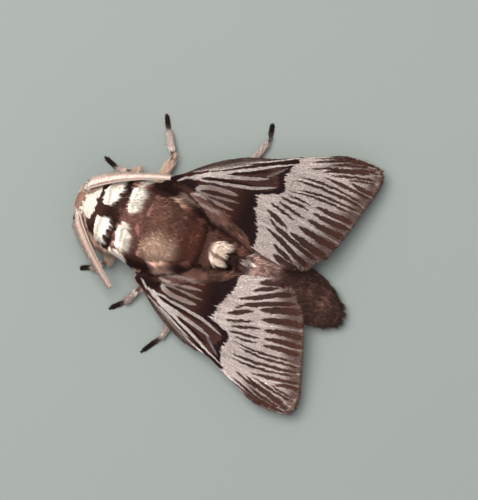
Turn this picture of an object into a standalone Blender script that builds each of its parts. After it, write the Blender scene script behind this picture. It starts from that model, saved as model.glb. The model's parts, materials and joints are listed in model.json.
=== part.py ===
"""A life-size resting moth of the lappet family, wings spread flat in a delta, as one still model.

The body's long axis runs along Y with the head towards -Y, the left wing is at +X, and +Z is up.
Lengths in the tables are millimetres; they become metres when a mesh is made. Plan positions are
measured from a point on the midline just behind the collar, and the whole moth is moved at the end
so that the origin is on the floor under the middle of its box.
"""

import math

import bmesh
import bpy
from mathutils import Matrix, Vector
from mathutils.geometry import delaunay_2d_cdt, intersect_point_line

MM = 0.001

# Driving dimensions.
GAP = 0.3  # left between neighbouring pieces
WING_THICKNESS = 0.5
WING_STEP = WING_THICKNESS + GAP  # how far the hindwing lies under the forewing
CROWN_Z = 7.0  # forewing height along the midline
TAIL_CROWN_Z = 5.0  # the same at the hind edge
COSTA_ROOT_Z = 5.0  # front edge of the wing at its root
COSTA_TIP_Z = 2.4  # front edge of the wing far out
WING_ROOT_Y = 4.9
EYE_RADIUS = 1.15
EYE_CENTRE = (2.35, -3.5, 4.0)

BODY_SIDES = 20
TUBE_SIDES = 8

# Body sections, front to back: (y, half width, bottom z, top z, sideways shift).
HEAD = (
    (-5.25, 0.9, 3.2, 4.7, 0.0),
    (-4.95, 1.6, 2.7, 5.3, 0.0),
    (-4.3, 2.3, 2.3, 5.9, 0.0),
    (-3.35, 2.8, 2.0, 6.4, 0.0),
)
COLLAR = (
    (-3.05, 3.1, 2.1, 6.7, 0.0),
    (-2.2, 3.9, 1.8, 7.4, 0.0),
    (-1.05, 4.7, 1.6, 8.1, 0.0),
)
THORAX = (
    (-0.75, 4.8, 1.6, 8.2, 0.0),
    (1.2, 5.4, 1.4, 8.9, 0.0),
    (4.2, 5.7, 1.3, 9.3, 0.0),
    (7.6, 5.6, 1.3, 9.3, 0.0),
    (10.4, 4.9, 1.5, 8.7, 0.0),
    (12.4, 4.0, 1.9, 7.7, 0.0),
    (13.2, 3.3, 2.4, 6.9, 0.0),
)
ABDOMEN_FRONT = (
    (13.5, 3.4, 1.8, 6.1, 0.0),
    (15.5, 3.9, 1.2, 6.0, 0.0),
    (18.0, 4.2, 0.7, 5.9, 0.1),
    (20.35, 4.35, 0.4, 5.7, 0.2),
)
ABDOMEN_MIDDLE = (
    (20.65, 4.35, 0.35, 5.65, 0.2),
    (23.5, 4.35, 0.1, 5.3, 0.45),
    (27.35, 4.2, -0.15, 4.75, 1.0),
)
ABDOMEN_TAIL = (
    (27.65, 4.2, -0.15, 4.7, 1.05),
    (30.5, 4.1, -0.2, 4.2, 1.6),
    (33.2, 3.7, -0.1, 3.7, 2.1),
    (35.1, 2.6, 0.2, 3.1, 2.5),
    (36.05, 1.3, 0.8, 2.3, 2.7),
)

# The shoulder lobes are the part of the thorax inside this egg, over the wing root.
TEGULA_CENTRE = (5.6, 3.9, 7.6)
TEGULA_RADII = (2.5, 3.9, 2.5)

# Outlines as seen from above, as cubic curves: (distance from midline, y).
FORE_COSTA = ((6.3, 4.9), (10.3, 9.6), (19.0, 24.0), (19.1, 31.0))
FORE_APEX = ((19.1, 31.0), (19.15, 33.5), (18.3, 34.8), (16.2, 34.3))
FORE_TERMEN = ((16.2, 34.3), (11.6, 33.2), (6.6, 31.9), (2.7, 30.0))
FORE_TORNUS = ((2.7, 30.0), (1.2, 29.3), (0.45, 28.4), (0.45, 26.8))
FORE_DORSUM = ((0.45, 26.8), (1.6, 20.5), (4.6, 13.0), (5.9, 9.8))
FORE_ROOT = ((5.9, 9.8), (6.1, 8.2), (6.2, 6.5), (6.3, 4.9))

# The hindwing shows only as a lobe in front of the forewing's costa.
HIND_FRONT = ((6.5, 6.0), (13.2, 11.6), (14.6, 16.6), (16.4, 24.0))
HIND_OUTER = ((16.4, 24.0), (17.6, 28.6), (16.6, 31.6), (11.0, 31.3))
HIND_ROOT = ((6.3, 9.5), (6.35, 8.3), (6.4, 7.2), (6.5, 6.0))
HIND_INNER_CLEARANCE = 0.6
HIND_INNER_Y = (29.5, 11.0)
WING_FACET = 1.2  # side of the triangles that a wing's surface is made of

# How far each wing is turned about its root, in degrees, outwards positive.
WING_TURN = {"left": -1.2, "right": 0.0}
WING_LENGTH = {"left": 0.978, "right": 1.0}

SIDES = {"left": 1.0, "right": -1.0}

# Legs: hip, knee, ankle and toe as (distance from midline, y, z).
LEGS = {
    "front_left": ((2.6, 0.3, 1.0), (6.5, 2.1, 1.7), (8.1, 0.5, 0.75), (8.9, -1.2, 0.3)),
    "front_right": ((2.6, 0.3, 1.0), (6.6, 1.5, 1.7), (5.9, -0.9, 0.75), (6.9, -3.4, 0.3)),
    "middle_left": ((2.6, 4.2, 1.0), (8.3, 7.7, 1.7), (11.0, 6.4, 0.75), (12.8, 4.6, 0.3)),
    "middle_right": ((2.6, 4.2, 1.0), (10.2, 5.6, 1.7), (13.4, 3.7, 0.75), (15.5, 2.6, 0.3)),
    "hind_left": ((2.6, 8.2, 1.0), (10.3, 13.6, 1.6), (14.2, 12.7, 0.75), (17.0, 10.9, 0.3)),
    "hind_right": ((2.6, 8.2, 1.0), (11.0, 15.3, 1.6), (17.3, 17.5, 0.75), (19.4, 17.1, 0.3)),
}
# (start radius, end radius) of each length of a leg, out to the tips of its hair.
LEG_RADII = {
    "front": {"femur": (0.5, 0.8), "tibia": (0.6, 0.45), "tarsus": (0.42, 0.28)},
    "middle": {"femur": (0.5, 1.05), "tibia": (0.65, 0.5), "tarsus": (0.45, 0.3)},
    "hind": {"femur": (0.5, 0.75), "tibia": (0.6, 0.5), "tarsus": (0.45, 0.3)},
}

# Feelers: shaft route as (distance from midline, y, z), root to tip.
ANTENNA_ROUTE = {
    "left": ((1.35, -3.95, 6.45), (3.6, -2.6, 8.2), (6.5, 0.2, 5.7), (9.8, 3.8, 3.6)),
    "right": ((1.75, -4.15, 6.45), (3.0, -2.5, 8.2), (5.3, 0.7, 8.4), (7.1, 6.5, 6.4)),
}
ANTENNA_VANE = {"left": 1.55, "right": 1.35}  # width of the comb at its widest
ANTENNA_THICKNESS = 0.55
ANTENNA_DROOP = 24.0  # degrees that the comb hangs below level
ANTENNA_RINGS = 12


def smooth_step(t):
    """Rises from 0 to 1 with level ends."""
    t = min(1.0, max(0.0, t))
    return t * t * (3.0 - 2.0 * t)


def bezier(points, t):
    """A point of a cubic curve of 2 or 3 coordinates."""
    weights = ((1 - t) ** 3, 3 * t * (1 - t) ** 2, 3 * t * t * (1 - t), t**3)
    return tuple(sum(w * p[i] for w, p in zip(weights, points)) for i in range(len(points[0])))


def costa_x(y):
    """Distance of the forewing's front edge from the midline at y, carried on past its two ends."""
    low, high = 0.0, 1.0
    for _ in range(30):
        middle = (low + high) / 2
        if bezier(FORE_COSTA, middle)[1] < y:
            low = middle
        else:
            high = middle
    return bezier(FORE_COSTA, low)[0]


def wing_height(x, y):
    """Height of the middle of the forewing: a low roof that falls from the midline to its front edge."""
    crown = CROWN_Z - (CROWN_Z - TAIL_CROWN_Z) * smooth_step((y - 16.0) / 18.0)
    edge = COSTA_TIP_Z + (COSTA_ROOT_Z - COSTA_TIP_Z) * math.exp(-(y - WING_ROOT_Y) / 10.0)
    across = (abs(x) / costa_x(y)) ** 1.15
    return crown + (edge - crown) * across


def along_curves(*curves):
    """Points about a facet apart along cubic curves laid end to end, without the last one's end."""
    points = []
    for curve in curves:
        steps = max(2, round(math.dist(curve[0], curve[3]) / WING_FACET))
        points += [bezier(curve, i / steps) for i in range(steps)]
    return points


def abdomen_side(y, side):
    """How far the abdomen reaches from the midline at y, on one side."""
    sections = THORAX + ABDOMEN_FRONT + ABDOMEN_MIDDLE + ABDOMEN_TAIL
    for a, b in zip(sections, sections[1:]):
        if a[0] <= y <= b[0]:
            t = (y - a[0]) / (b[0] - a[0])
            half, shift = (a[i] + t * (b[i] - a[i]) for i in (1, 4))
            return half + side * shift
    raise ValueError("the hindwing's inner edge runs past the body")


def forewing_outline():
    """The forewing's outline, from its root along the front edge and round."""
    return along_curves(FORE_COSTA, FORE_APEX, FORE_TERMEN, FORE_TORNUS, FORE_DORSUM, FORE_ROOT)


def hindwing_outline(side):
    """The hindwing's outline: its inner edge follows the side of the abdomen."""
    steps = round(abs(HIND_INNER_Y[1] - HIND_INNER_Y[0]) / WING_FACET)
    inner = []
    for i in range(steps + 1):
        y = HIND_INNER_Y[0] + (HIND_INNER_Y[1] - HIND_INNER_Y[0]) * i / steps
        inner.append((abdomen_side(y, side) + HIND_INNER_CLEARANCE, y))
    return along_curves(HIND_FRONT, HIND_OUTER) + inner + along_curves(HIND_ROOT)


def clear_of(point, outline):
    """True if a point stands off every side of an outline by at least half a facet."""
    for start, end in zip(outline, outline[1:] + outline[:1]):
        near, share = intersect_point_line(point, start, end)
        near = start.lerp(end, min(1.0, max(0.0, share)))
        if (Vector(near) - point).length < 0.5 * WING_FACET:
            return False
    return True


def filled(outline):
    """Even triangles that fill an outline: (points, triangles)."""
    outline = [Vector(point) for point in outline]
    low = Vector([min(p[i] for p in outline) for i in (0, 1)])
    high = Vector([max(p[i] for p in outline) for i in (0, 1)])
    points = list(outline)
    line_step = WING_FACET * math.sqrt(0.75)
    for j in range(int((high.y - low.y) / line_step) + 1):
        for i in range(int((high.x - low.x) / WING_FACET) + 1):
            point = low + Vector(((i + 0.5 * (j % 2)) * WING_FACET, j * line_step))
            if clear_of(point, outline):
                points.append(point)
    sides = [(i, (i + 1) % len(outline)) for i in range(len(outline))]
    points, _, faces, *_ = delaunay_2d_cdt(points, sides, [], 1, 1e-4)
    used = sorted({i for face in faces for i in face})
    place = {old: new for new, old in enumerate(used)}
    return [points[i] for i in used], [[place[i] for i in face] for face in faces]


def material(name, colour, roughness):
    """A plain dielectric finish."""
    made = bpy.data.materials.new(name)
    made.use_nodes = True
    principled = made.node_tree.nodes["Principled BSDF"]
    principled.inputs["Base Color"].default_value = (*colour, 1.0)
    principled.inputs["Roughness"].default_value = roughness
    principled.inputs["Metallic"].default_value = 0.0
    return made


def new_object(name, bm, finish, sharp_degrees=40.0):
    """Turns a bmesh in millimetres into a named object in metres, with its faces pointing out."""
    bmesh.ops.recalc_face_normals(bm, faces=bm.faces)
    bmesh.ops.scale(bm, vec=(MM, MM, MM), verts=bm.verts)
    mesh = bpy.data.meshes.new(name)
    bm.to_mesh(mesh)
    bm.free()
    mesh.shade_smooth()
    mesh.set_sharp_from_angle(angle=math.radians(sharp_degrees))
    mesh.materials.append(finish)
    made = bpy.data.objects.new(name, mesh)
    bpy.context.scene.collection.objects.link(made)
    return made


def loft(name, rings, finish):
    """Joins rings of points into one closed body, with a flat cap at each end."""
    bm = bmesh.new()
    made = [[bm.verts.new(point) for point in ring] for ring in rings]
    for a, b in zip(made, made[1:]):
        for i in range(len(a)):
            j = (i + 1) % len(a)
            bm.faces.new((a[i], a[j], b[j], b[i]))
    bm.faces.new(made[0])
    bm.faces.new(list(reversed(made[-1])))
    return new_object(name, bm, finish)


def body_ring(y, half_width, bottom, top, shift):
    """One upright section of the body, a little fuller than an ellipse and never below the floor."""
    middle, half_height, fullness = (top + bottom) / 2, (top - bottom) / 2, 0.92
    ring = []
    for i in range(BODY_SIDES):
        angle = 2 * math.pi * i / BODY_SIDES
        c, s = math.cos(angle), math.sin(angle)
        x = shift + half_width * math.copysign(abs(c) ** fullness, c)
        z = middle + half_height * math.copysign(abs(s) ** fullness, s)
        ring.append((x, y, max(0.0, z)))
    return ring


def body_length(name, sections, finish):
    """One length of the body between two thin cuts."""
    return loft(name, [body_ring(*section) for section in sections], finish)


def apply_boolean(target, cutter, operation):
    """Cuts or keeps what a second shape says, for good."""
    modifier = target.modifiers.new(operation.lower(), "BOOLEAN")
    modifier.operation = operation
    modifier.object = cutter
    graph = bpy.context.evaluated_depsgraph_get()
    cut = bpy.data.meshes.new_from_object(target.evaluated_get(graph))
    target.modifiers.clear()
    target.data = cut
    cut.name = target.name


def egg(name, centre, radii, segments, finish):
    """An egg shape with its poles up and down: an eye, or a cutter that is removed after use."""
    bm = bmesh.new()
    matrix = Matrix.Translation(centre) @ Matrix.Diagonal((*radii, 1.0))
    bmesh.ops.create_uvsphere(
        bm, u_segments=segments, v_segments=round(0.6 * segments), radius=1.0, matrix=matrix
    )
    return new_object(name, bm, finish)


def make_eyes(head, collar):
    """Two globes, each in a socket that reaches into the head and the collar."""
    for name, side in SIDES.items():
        centre = (side * EYE_CENTRE[0], EYE_CENTRE[1], EYE_CENTRE[2])
        finish = bpy.data.materials["eye"]
        socket = egg("socket", centre, [EYE_RADIUS + GAP] * 3, 16, finish)
        apply_boolean(head, socket, "DIFFERENCE")
        apply_boolean(collar, socket, "DIFFERENCE")
        bpy.data.objects.remove(socket)
        egg(f"eye_{name}", centre, [EYE_RADIUS] * 3, 14, finish)


def make_shoulders(thorax):
    """Parts a lobe from each shoulder with a thin cut: the tegula, which covers the wing root."""
    finish = bpy.data.materials["cream_coat"]
    for name, side in SIDES.items():
        centre = (side * TEGULA_CENTRE[0], TEGULA_CENTRE[1], TEGULA_CENTRE[2])
        keep = egg("keep", centre, TEGULA_RADII, 18, finish)
        away = egg("away", centre, [radius + GAP for radius in TEGULA_RADII], 18, finish)
        lobe = thorax.copy()
        lobe.data = thorax.data.copy()
        lobe.name = f"tegula_{name}"
        bpy.context.scene.collection.objects.link(lobe)
        apply_boolean(lobe, keep, "INTERSECT")
        lobe.data.materials.clear()
        lobe.data.materials.append(finish)
        apply_boolean(thorax, away, "DIFFERENCE")
        bpy.data.objects.remove(keep)
        bpy.data.objects.remove(away)


def tube(name, start, end, radii, finish, floor=None):
    """A short tapered tube with rounded ends between two points. Floor flattens its underside."""
    start, end = Vector(start), Vector(end)
    along = (end - start).normalized()
    across = along.cross(Vector((0, 0, 1))).normalized()
    up = across.cross(along)
    rings = []
    # (share of the length, share of the radius): both ends are drawn in to a blunt tip.
    for share, swell in ((0.0, 0.55), (0.08, 0.92), (0.5, 1.0), (0.92, 0.92), (1.0, 0.55)):
        centre = start.lerp(end, share)
        radius = swell * (radii[0] + (radii[1] - radii[0]) * share)
        ring = []
        for i in range(TUBE_SIDES):
            angle = 2 * math.pi * (i + 0.5) / TUBE_SIDES
            point = centre + radius * (math.cos(angle) * across + math.sin(angle) * up)
            if floor is not None:
                point.z = floor if point.z < centre.z - 0.3 * radius else point.z
            ring.append(point)
        rings.append(ring)
    return loft(name, rings, finish)


def make_leg(name, points, side):
    """Femur, tibia and tarsus: the sharper a joint is bent, the later the next length starts."""
    joints = [Vector((side * x, y, z)) for x, y, z in points]
    finishes = {"femur": "leg_coat", "tibia": "leg_coat", "tarsus": "foot"}
    last_way, last_radius = None, 0.0
    for (part, radii), start, end in zip(LEG_RADII[name.split("_")[0]].items(), joints, joints[1:]):
        way = (end - start).normalized()
        if last_way:
            start = start + way * (1.25 * GAP + 0.8 * last_radius * (1.0 - way.dot(last_way)))
        floor = 0.0 if part == "tarsus" else None
        tube(f"{part}_{name}", start, end, radii, bpy.data.materials[finishes[part]], floor)
        last_way, last_radius = way, radii[1]


def make_antenna(name, side):
    """A feeler: the shaft's route with its comb to the outer side, as one tapered blade."""
    route = ANTENNA_ROUTE[name]
    droop = math.radians(ANTENNA_DROOP)
    rings = []
    for i in range(ANTENNA_RINGS + 1):
        t = i / ANTENNA_RINGS
        centre = Vector(bezier(route, t))
        ahead = Vector(bezier(route, min(1.0, t + 0.01))) - Vector(bezier(route, max(0.0, t - 0.01)))
        ahead.normalize()
        level = ahead.cross(Vector((0, 0, 1))).normalized()
        if level.x < 0:
            level = -level
        outward = (level * math.cos(droop) - Vector((0, 0, 1)) * math.sin(droop)).normalized()
        up = outward.cross(ahead).normalized()
        if up.z < 0:
            up = -up
        widen = smooth_step(t / 0.18)
        narrow = 1.0 - 0.62 * smooth_step((t - 0.35) / 0.65)
        width = 0.5 + (ANTENNA_VANE[name] - 0.5) * widen * narrow
        half = ANTENNA_THICKNESS / 2
        # The shaft is the thick inner edge; the comb's outer edge is rounded off.
        outline = (
            (-half, 0.0),
            (-0.6 * half, half),
            (0.5 * width, 0.85 * half),
            (width - half, 0.8 * half),
            (width, 0.0),
            (width - half, -0.8 * half),
            (0.5 * width, -0.85 * half),
            (-0.6 * half, -half),
        )
        ring = []
        for out, high in outline:
            point = centre + out * outward + high * up
            ring.append((side * point.x, point.y, point.z))
        rings.append(ring)
    return loft(f"antenna_{name}", rings, bpy.data.materials["antenna"])


def make_palp(name, side):
    """A short furred mouth feeler under the face."""
    start, end = (side * 0.8, -3.6, 1.35), (side * 0.75, -5.3, 2.0)
    tube(f"palp_{name}", start, end, (0.42, 0.36), bpy.data.materials["brown_coat"])


def make_wing(name, outline, drop, side_name, finish):
    """A wing: its plan laid on the roof surface and thickened both ways."""
    side, length = SIDES[side_name], WING_LENGTH[side_name]
    spin = length * Matrix.Rotation(-math.radians(WING_TURN[side_name]), 2)
    root = Vector(FORE_ROOT[1])
    points, triangles = filled(outline)
    bm = bmesh.new()
    corners = []
    for flat in points:
        turned = root + spin @ (flat - root)
        corners.append(bm.verts.new((side * turned.x, turned.y, wing_height(flat.x, flat.y) - drop)))
    for triangle in triangles:
        bm.faces.new([corners[i] for i in triangle])
    made = new_object(name, bm, finish)
    thicken = made.modifiers.new("thickness", "SOLIDIFY")
    thicken.thickness = WING_THICKNESS * MM
    thicken.offset = 0.0
    return made


def make_crest():
    """The pale tuft and the dark one that stand on the abdomen between the wings."""
    pale = (
        (14.9, 1.2, 6.35, 6.7, 0.2),
        (15.4, 1.9, 6.3, 7.2, 0.2),
        (16.5, 2.05, 6.3, 7.6, 0.2),
        (17.4, 1.5, 6.25, 7.7, 0.2),
    )
    dark = (
        (17.7, 0.9, 6.25, 7.8, 0.3),
        (18.5, 1.15, 6.2, 8.1, 0.35),
        (19.5, 1.0, 6.15, 7.9, 0.35),
        (20.3, 0.5, 6.12, 7.2, 0.35),
    )
    body_length("crest_pale", pale, bpy.data.materials["cream_coat"])
    body_length("crest_dark", dark, bpy.data.materials["dark_coat"])


def stand_on_origin():
    """Moves everything so that the origin is on the floor under the middle of the moth's box."""
    graph = bpy.context.evaluated_depsgraph_get()
    corners = [
        obj.matrix_world @ Vector(corner)
        for obj in bpy.context.scene.objects
        for corner in obj.evaluated_get(graph).bound_box
    ]
    middle = [(min(c[i] for c in corners) + max(c[i] for c in corners)) / 2 for i in (0, 1)]
    low = min(c[2] for c in corners)
    for obj in bpy.context.scene.objects:
        obj.location = (-middle[0], -middle[1], -low)
    print(f"midline reference point is at x {-middle[0]:.6f}, y {-middle[1]:.6f}, floor {-low:.6f}")


def main():
    """Builds the moth from the body outwards."""
    for obj in list(bpy.data.objects):
        bpy.data.objects.remove(obj)

    material("brown_coat", (0.19, 0.105, 0.08), 0.85)
    material("cream_coat", (0.83, 0.72, 0.6), 0.85)
    material("dark_coat", (0.035, 0.02, 0.018), 0.85)
    material("eye", (0.03, 0.018, 0.014), 0.25)
    material("antenna", (0.5, 0.36, 0.31), 0.75)
    material("leg_coat", (0.36, 0.23, 0.18), 0.85)
    material("foot", (0.05, 0.03, 0.025), 0.7)
    material("forewing", (0.46, 0.34, 0.31), 0.7)
    material("hindwing", (0.22, 0.13, 0.1), 0.75)
    finish = bpy.data.materials

    head = body_length("head", HEAD, finish["brown_coat"])
    collar = body_length("collar", COLLAR, finish["cream_coat"])
    thorax = body_length("thorax", THORAX, finish["brown_coat"])
    make_eyes(head, collar)
    make_shoulders(thorax)
    body_length("abdomen_front", ABDOMEN_FRONT, finish["brown_coat"])
    body_length("abdomen_middle", ABDOMEN_MIDDLE, finish["brown_coat"])
    body_length("abdomen_tail", ABDOMEN_TAIL, finish["brown_coat"])
    make_crest()

    for name, side in SIDES.items():
        make_palp(name, side)
        make_antenna(name, side)
        make_wing(f"forewing_{name}", forewing_outline(), 0.0, name, finish["forewing"])
        make_wing(f"hindwing_{name}", hindwing_outline(side), WING_STEP, name, finish["hindwing"])
    for name, points in LEGS.items():
        make_leg(name, points, SIDES[name.split("_")[1]])
    stand_on_origin()


main()
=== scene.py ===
# %% [markdown]
# # A resting moth of the lappet family
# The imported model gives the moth's true size and pose as plain solids. This lesson dresses it: one
# furred skin over the body, four scaled wings, jointed legs with claws, comb feelers and faceted
# eyes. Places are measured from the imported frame, so that the looks fit the solids.

# %% Load the frame
import json
import math

import bpy
import numpy as np
from mathutils import Matrix, Vector, kdtree

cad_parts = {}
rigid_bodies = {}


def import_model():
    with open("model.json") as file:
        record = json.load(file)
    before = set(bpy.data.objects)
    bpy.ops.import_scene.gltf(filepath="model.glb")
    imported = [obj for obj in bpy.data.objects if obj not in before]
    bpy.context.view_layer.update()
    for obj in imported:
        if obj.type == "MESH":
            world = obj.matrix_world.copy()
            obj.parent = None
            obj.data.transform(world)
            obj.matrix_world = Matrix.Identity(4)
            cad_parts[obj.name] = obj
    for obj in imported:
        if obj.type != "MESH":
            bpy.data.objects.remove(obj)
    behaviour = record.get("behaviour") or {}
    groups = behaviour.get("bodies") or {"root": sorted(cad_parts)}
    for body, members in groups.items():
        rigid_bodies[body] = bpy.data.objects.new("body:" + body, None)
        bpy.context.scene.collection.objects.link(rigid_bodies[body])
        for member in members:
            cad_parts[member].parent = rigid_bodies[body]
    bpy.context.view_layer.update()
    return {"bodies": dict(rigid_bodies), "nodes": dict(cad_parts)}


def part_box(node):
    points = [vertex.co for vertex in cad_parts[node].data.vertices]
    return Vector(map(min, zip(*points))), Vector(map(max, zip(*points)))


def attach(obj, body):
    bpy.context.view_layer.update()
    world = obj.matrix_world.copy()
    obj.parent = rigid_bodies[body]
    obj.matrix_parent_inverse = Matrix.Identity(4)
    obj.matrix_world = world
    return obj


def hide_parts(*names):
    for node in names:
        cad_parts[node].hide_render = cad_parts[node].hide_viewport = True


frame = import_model()
body_name = next(iter(frame["bodies"]))
MM = 0.001
print(f"{len(frame['nodes'])} solids ride on {body_name!r}")

# %% [markdown]
# ## Where things are on a moth
# Markings are easier to write on a flat plan of the animal than in space. On this plan u runs from
# the nape to the tail and v to the moth's right, both in millimetres. The thorax solid is
# symmetrical, so its box gives the midline, and its front face lies 0.75 mm ahead of the nape.

# %% The plan of the moth
thorax_low, thorax_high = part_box("thorax")
MIDLINE = (thorax_low.x + thorax_high.x) / 2
NAPE = thorax_low.y + 0.75 * MM
SIDES = {"left": 1.0, "right": -1.0}


def plan(points):
    """Plan places (v, u) in millimetres of points in metres."""
    return np.column_stack([(MIDLINE - points[:, 0]) / MM, (points[:, 1] - NAPE) / MM])


def from_plan(side, out, back, height):
    """A point in metres from millimetres out from the midline, behind the nape and above the floor."""
    return Vector((MIDLINE + side * out * MM, NAPE + back * MM, height * MM))


def unit(vectors):
    """The same directions with length 1."""
    return vectors / np.maximum(np.linalg.norm(vectors, axis=-1, keepdims=True), 1e-12)


def smooth(values, start, end):
    """Rises from 0 at start to 1 at end, with level ends."""
    t = np.clip((values - start) / (end - start), 0.0, 1.0)
    return t * t * (3.0 - 2.0 * t)


print(f"midline at x {MIDLINE / MM:.2f} mm, nape at y {NAPE / MM:.2f} mm")

# %% [markdown]
# ## Camera, light and floor
# The moth is seen from straight above, turned so that its head points to the left and a little
# down. A long lens keeps the flat wings true. One large soft lamp from the head's side models the
# fur. A weak lamp from the tail's side and a pale sky fill the shadows, as on an overcast day.

# %% The camera straight above
HEADING = math.radians(20.3)
VIEW_HEIGHT = 0.07
CAMERA_DISTANCE = 0.35
SENSOR_HEIGHT = 24.0
VIEW_CENTRE = from_plan(SIDES["right"], 1.22, 18.79, 4.5)


def placed(name, data):
    """A new object in the scene."""
    made = bpy.data.objects.new(name, data)
    bpy.context.scene.collection.objects.link(made)
    return made


right = Vector((-math.sin(HEADING), math.cos(HEADING), 0))
up = Vector((-math.cos(HEADING), -math.sin(HEADING), 0))
camera = placed("camera", bpy.data.cameras.new("camera"))
camera.data.sensor_fit = "VERTICAL"
camera.data.sensor_height = SENSOR_HEIGHT
camera.data.lens = SENSOR_HEIGHT * CAMERA_DISTANCE / VIEW_HEIGHT
camera.data.clip_start = 0.01
camera.matrix_world = Matrix((right, up, Vector((0, 0, 1)))).transposed().to_4x4()
camera.location = VIEW_CENTRE + Vector((0, 0, CAMERA_DISTANCE))
bpy.context.scene.camera = camera
bpy.context.scene.view_settings.view_transform = "Standard"
print(f"the camera hangs {camera.location.z / MM:.0f} mm above the floor")

# %% The lamps and the sky


def add_lamp(name, towards, distance, size, watts, colour):
    """A square soft lamp that hangs in a direction from the moth and looks at it."""
    lamp = placed(name, bpy.data.lights.new(name, "AREA"))
    lamp.data.size = size
    lamp.data.energy = watts
    lamp.data.color = colour
    away = Vector(towards).normalized()
    lamp.location = away * distance
    lamp.rotation_euler = away.to_track_quat("Z", "Y").to_euler()


add_lamp("window", (-0.36, -0.66, 1.9), 0.45, 0.28, 3.3, (1.0, 0.97, 0.94))
add_lamp("fill", (0.7, 0.5, 1.2), 0.5, 0.4, 0.35, (0.93, 0.96, 1.0))
sky = bpy.data.worlds.new("sky")
sky.use_nodes = True
sky_light = sky.node_tree.nodes["Background"]
sky_light.inputs["Color"].default_value = (0.97, 0.98, 1.0, 1.0)
sky_light.inputs["Strength"].default_value = 0.6
bpy.context.scene.world = sky

# %% The floor
bpy.ops.object.select_all(action="DESELECT")
bpy.ops.mesh.primitive_plane_add(size=0.9, location=(0, 0, 0))
floor = bpy.context.object
floor.name = "floor"
floor_finish = bpy.data.materials.new("pale_floor")
floor_finish.use_nodes = True
floor_shader = floor_finish.node_tree.nodes["Principled BSDF"]
floor_shader.inputs["Base Color"].default_value = (0.195, 0.218, 0.205, 1.0)
floor_shader.inputs["Roughness"].default_value = 0.9
floor.data.materials.append(floor_finish)
print("camera, two lamps, sky and floor are in place")

# %% [markdown]
# ## Tools for painting markings
# A moth's pattern is laid on like paint: a ground colour first, then streaks, pale vein lines and
# dark fields over it. Each layer is a mask from 0 to 1 worked out from plan places. The same
# functions colour the skin and every scale on it, so that both always carry the same markings.

# %% Lay colours over each other


def paint(code):
    """A linear colour from a six-digit code as painters write it."""
    parts = np.array([int(code[i : i + 2], 16) for i in (0, 2, 4)]) / 255
    return np.where(parts <= 0.04045, parts / 12.92, ((parts + 0.055) / 1.055) ** 2.4)


def over(colours, layer, mask):
    """Lays one colour, or a colour for each place, over what is there."""
    mask = np.broadcast_to(np.clip(mask, 0, 1), len(colours))
    return colours + (np.asarray(layer) - colours) * mask[:, None]


def painted(ground, places, *layers):
    """A colour for each place: the ground, with layers of (colour, mask) over it in their order."""
    colours = np.repeat(ground[None], len(places), axis=0)
    for layer, mask in layers:
        colours = over(colours, layer, mask)
    return colours


print("a brown in linear numbers:", np.round(paint("7C5145"), 3))

# %% Make smooth random grain


def look_up(table, spots, soft=False):
    """Numbers blended from a repeating table, at spots counted in its cells."""
    cell = np.floor(spots).astype(int)
    x, y = (smooth(spots - cell, 0, 1) if soft else spots - cell).T
    i, j = (cell % table.shape).T
    k, m = ((cell + 1) % table.shape).T
    near = table[i, j] * (1 - x) + table[k, j] * x
    far = table[i, m] * (1 - x) + table[k, m] * x
    return near * (1 - y) + far * y


def grain(places, size, seed):
    """Smooth random numbers from -1 to 1 that change over about size millimetres."""
    return look_up(np.random.default_rng(seed).uniform(-1, 1, (64, 64)), places / size, True)


def wobble(places, size, seed):
    """Smooth random shifts of the places, which make a straight edge ragged."""
    return np.column_stack([grain(places, size, seed), grain(places, size, seed + 1)])


plan_rows = np.column_stack([np.zeros(4), np.arange(4)])
print("grain of 1 mm, at each millimetre:", np.round(grain(plan_rows, 1, 1), 2))

# %% Masks for strokes, boxes and ovals


def along_route(places, route):
    """Distance of each place to a route, the share of the route passed there, and its direction."""
    route = np.array(route, float)
    lengths = np.hypot(*(route[1:] - route[:-1]).T)
    distance = np.full(len(places), 1e9)
    share = np.zeros(len(places))
    heading = np.zeros((len(places), 2))
    passed = 0.0
    for start, end, length in zip(route, route[1:], lengths):
        t = np.clip((places - start) @ (end - start) / length**2, 0, 1)
        here = np.hypot(*(places - start - t[:, None] * (end - start)).T)
        nearer = here < distance
        distance[nearer] = here[nearer]
        share[nearer] = (passed + t[nearer] * length) / lengths.sum()
        heading[nearer] = (end - start) / length
        passed += length
    return distance, share, heading


def streak(places, route, width, soft=0.07, tips=(0.25, 0.15)):
    """Mask of a brush stroke along a route, drawn out to a point at each end."""
    distance, share, _ = along_route(places, route)
    swell = np.sqrt(np.clip(share / tips[0], 0, 1) * np.clip((1 - share) / tips[1], 0, 1))
    return np.clip((width / 2 * swell - distance) / soft + 0.5, 0, 1) * (swell > 0.02)


def patch(places, low, high, corner=0.6, soft=0.12):
    """Mask of a box on the plan from low to high (v, u), with rounded corners."""
    low, high = np.array(low), np.array(high)
    gap = np.abs(places - (low + high) / 2) - (high - low) / 2 + corner
    outside = np.hypot(*np.maximum(gap, 0).T) + np.minimum(gap.max(axis=1), 0) - corner
    return np.clip(0.5 - outside / soft, 0, 1)


def oval(places, middle, radii, soft):
    """Mask of an oval on the plan."""
    inside = 1 - np.hypot(*((places - middle) / np.array(radii)).T)
    return np.clip(inside * np.mean(radii) / soft + 0.5, 0, 1)


print("a stroke's mask at each millimetre:", np.round(streak(plan_rows, ((0, 0), (0, 4)), 0.2, 0.2), 2))
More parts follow.
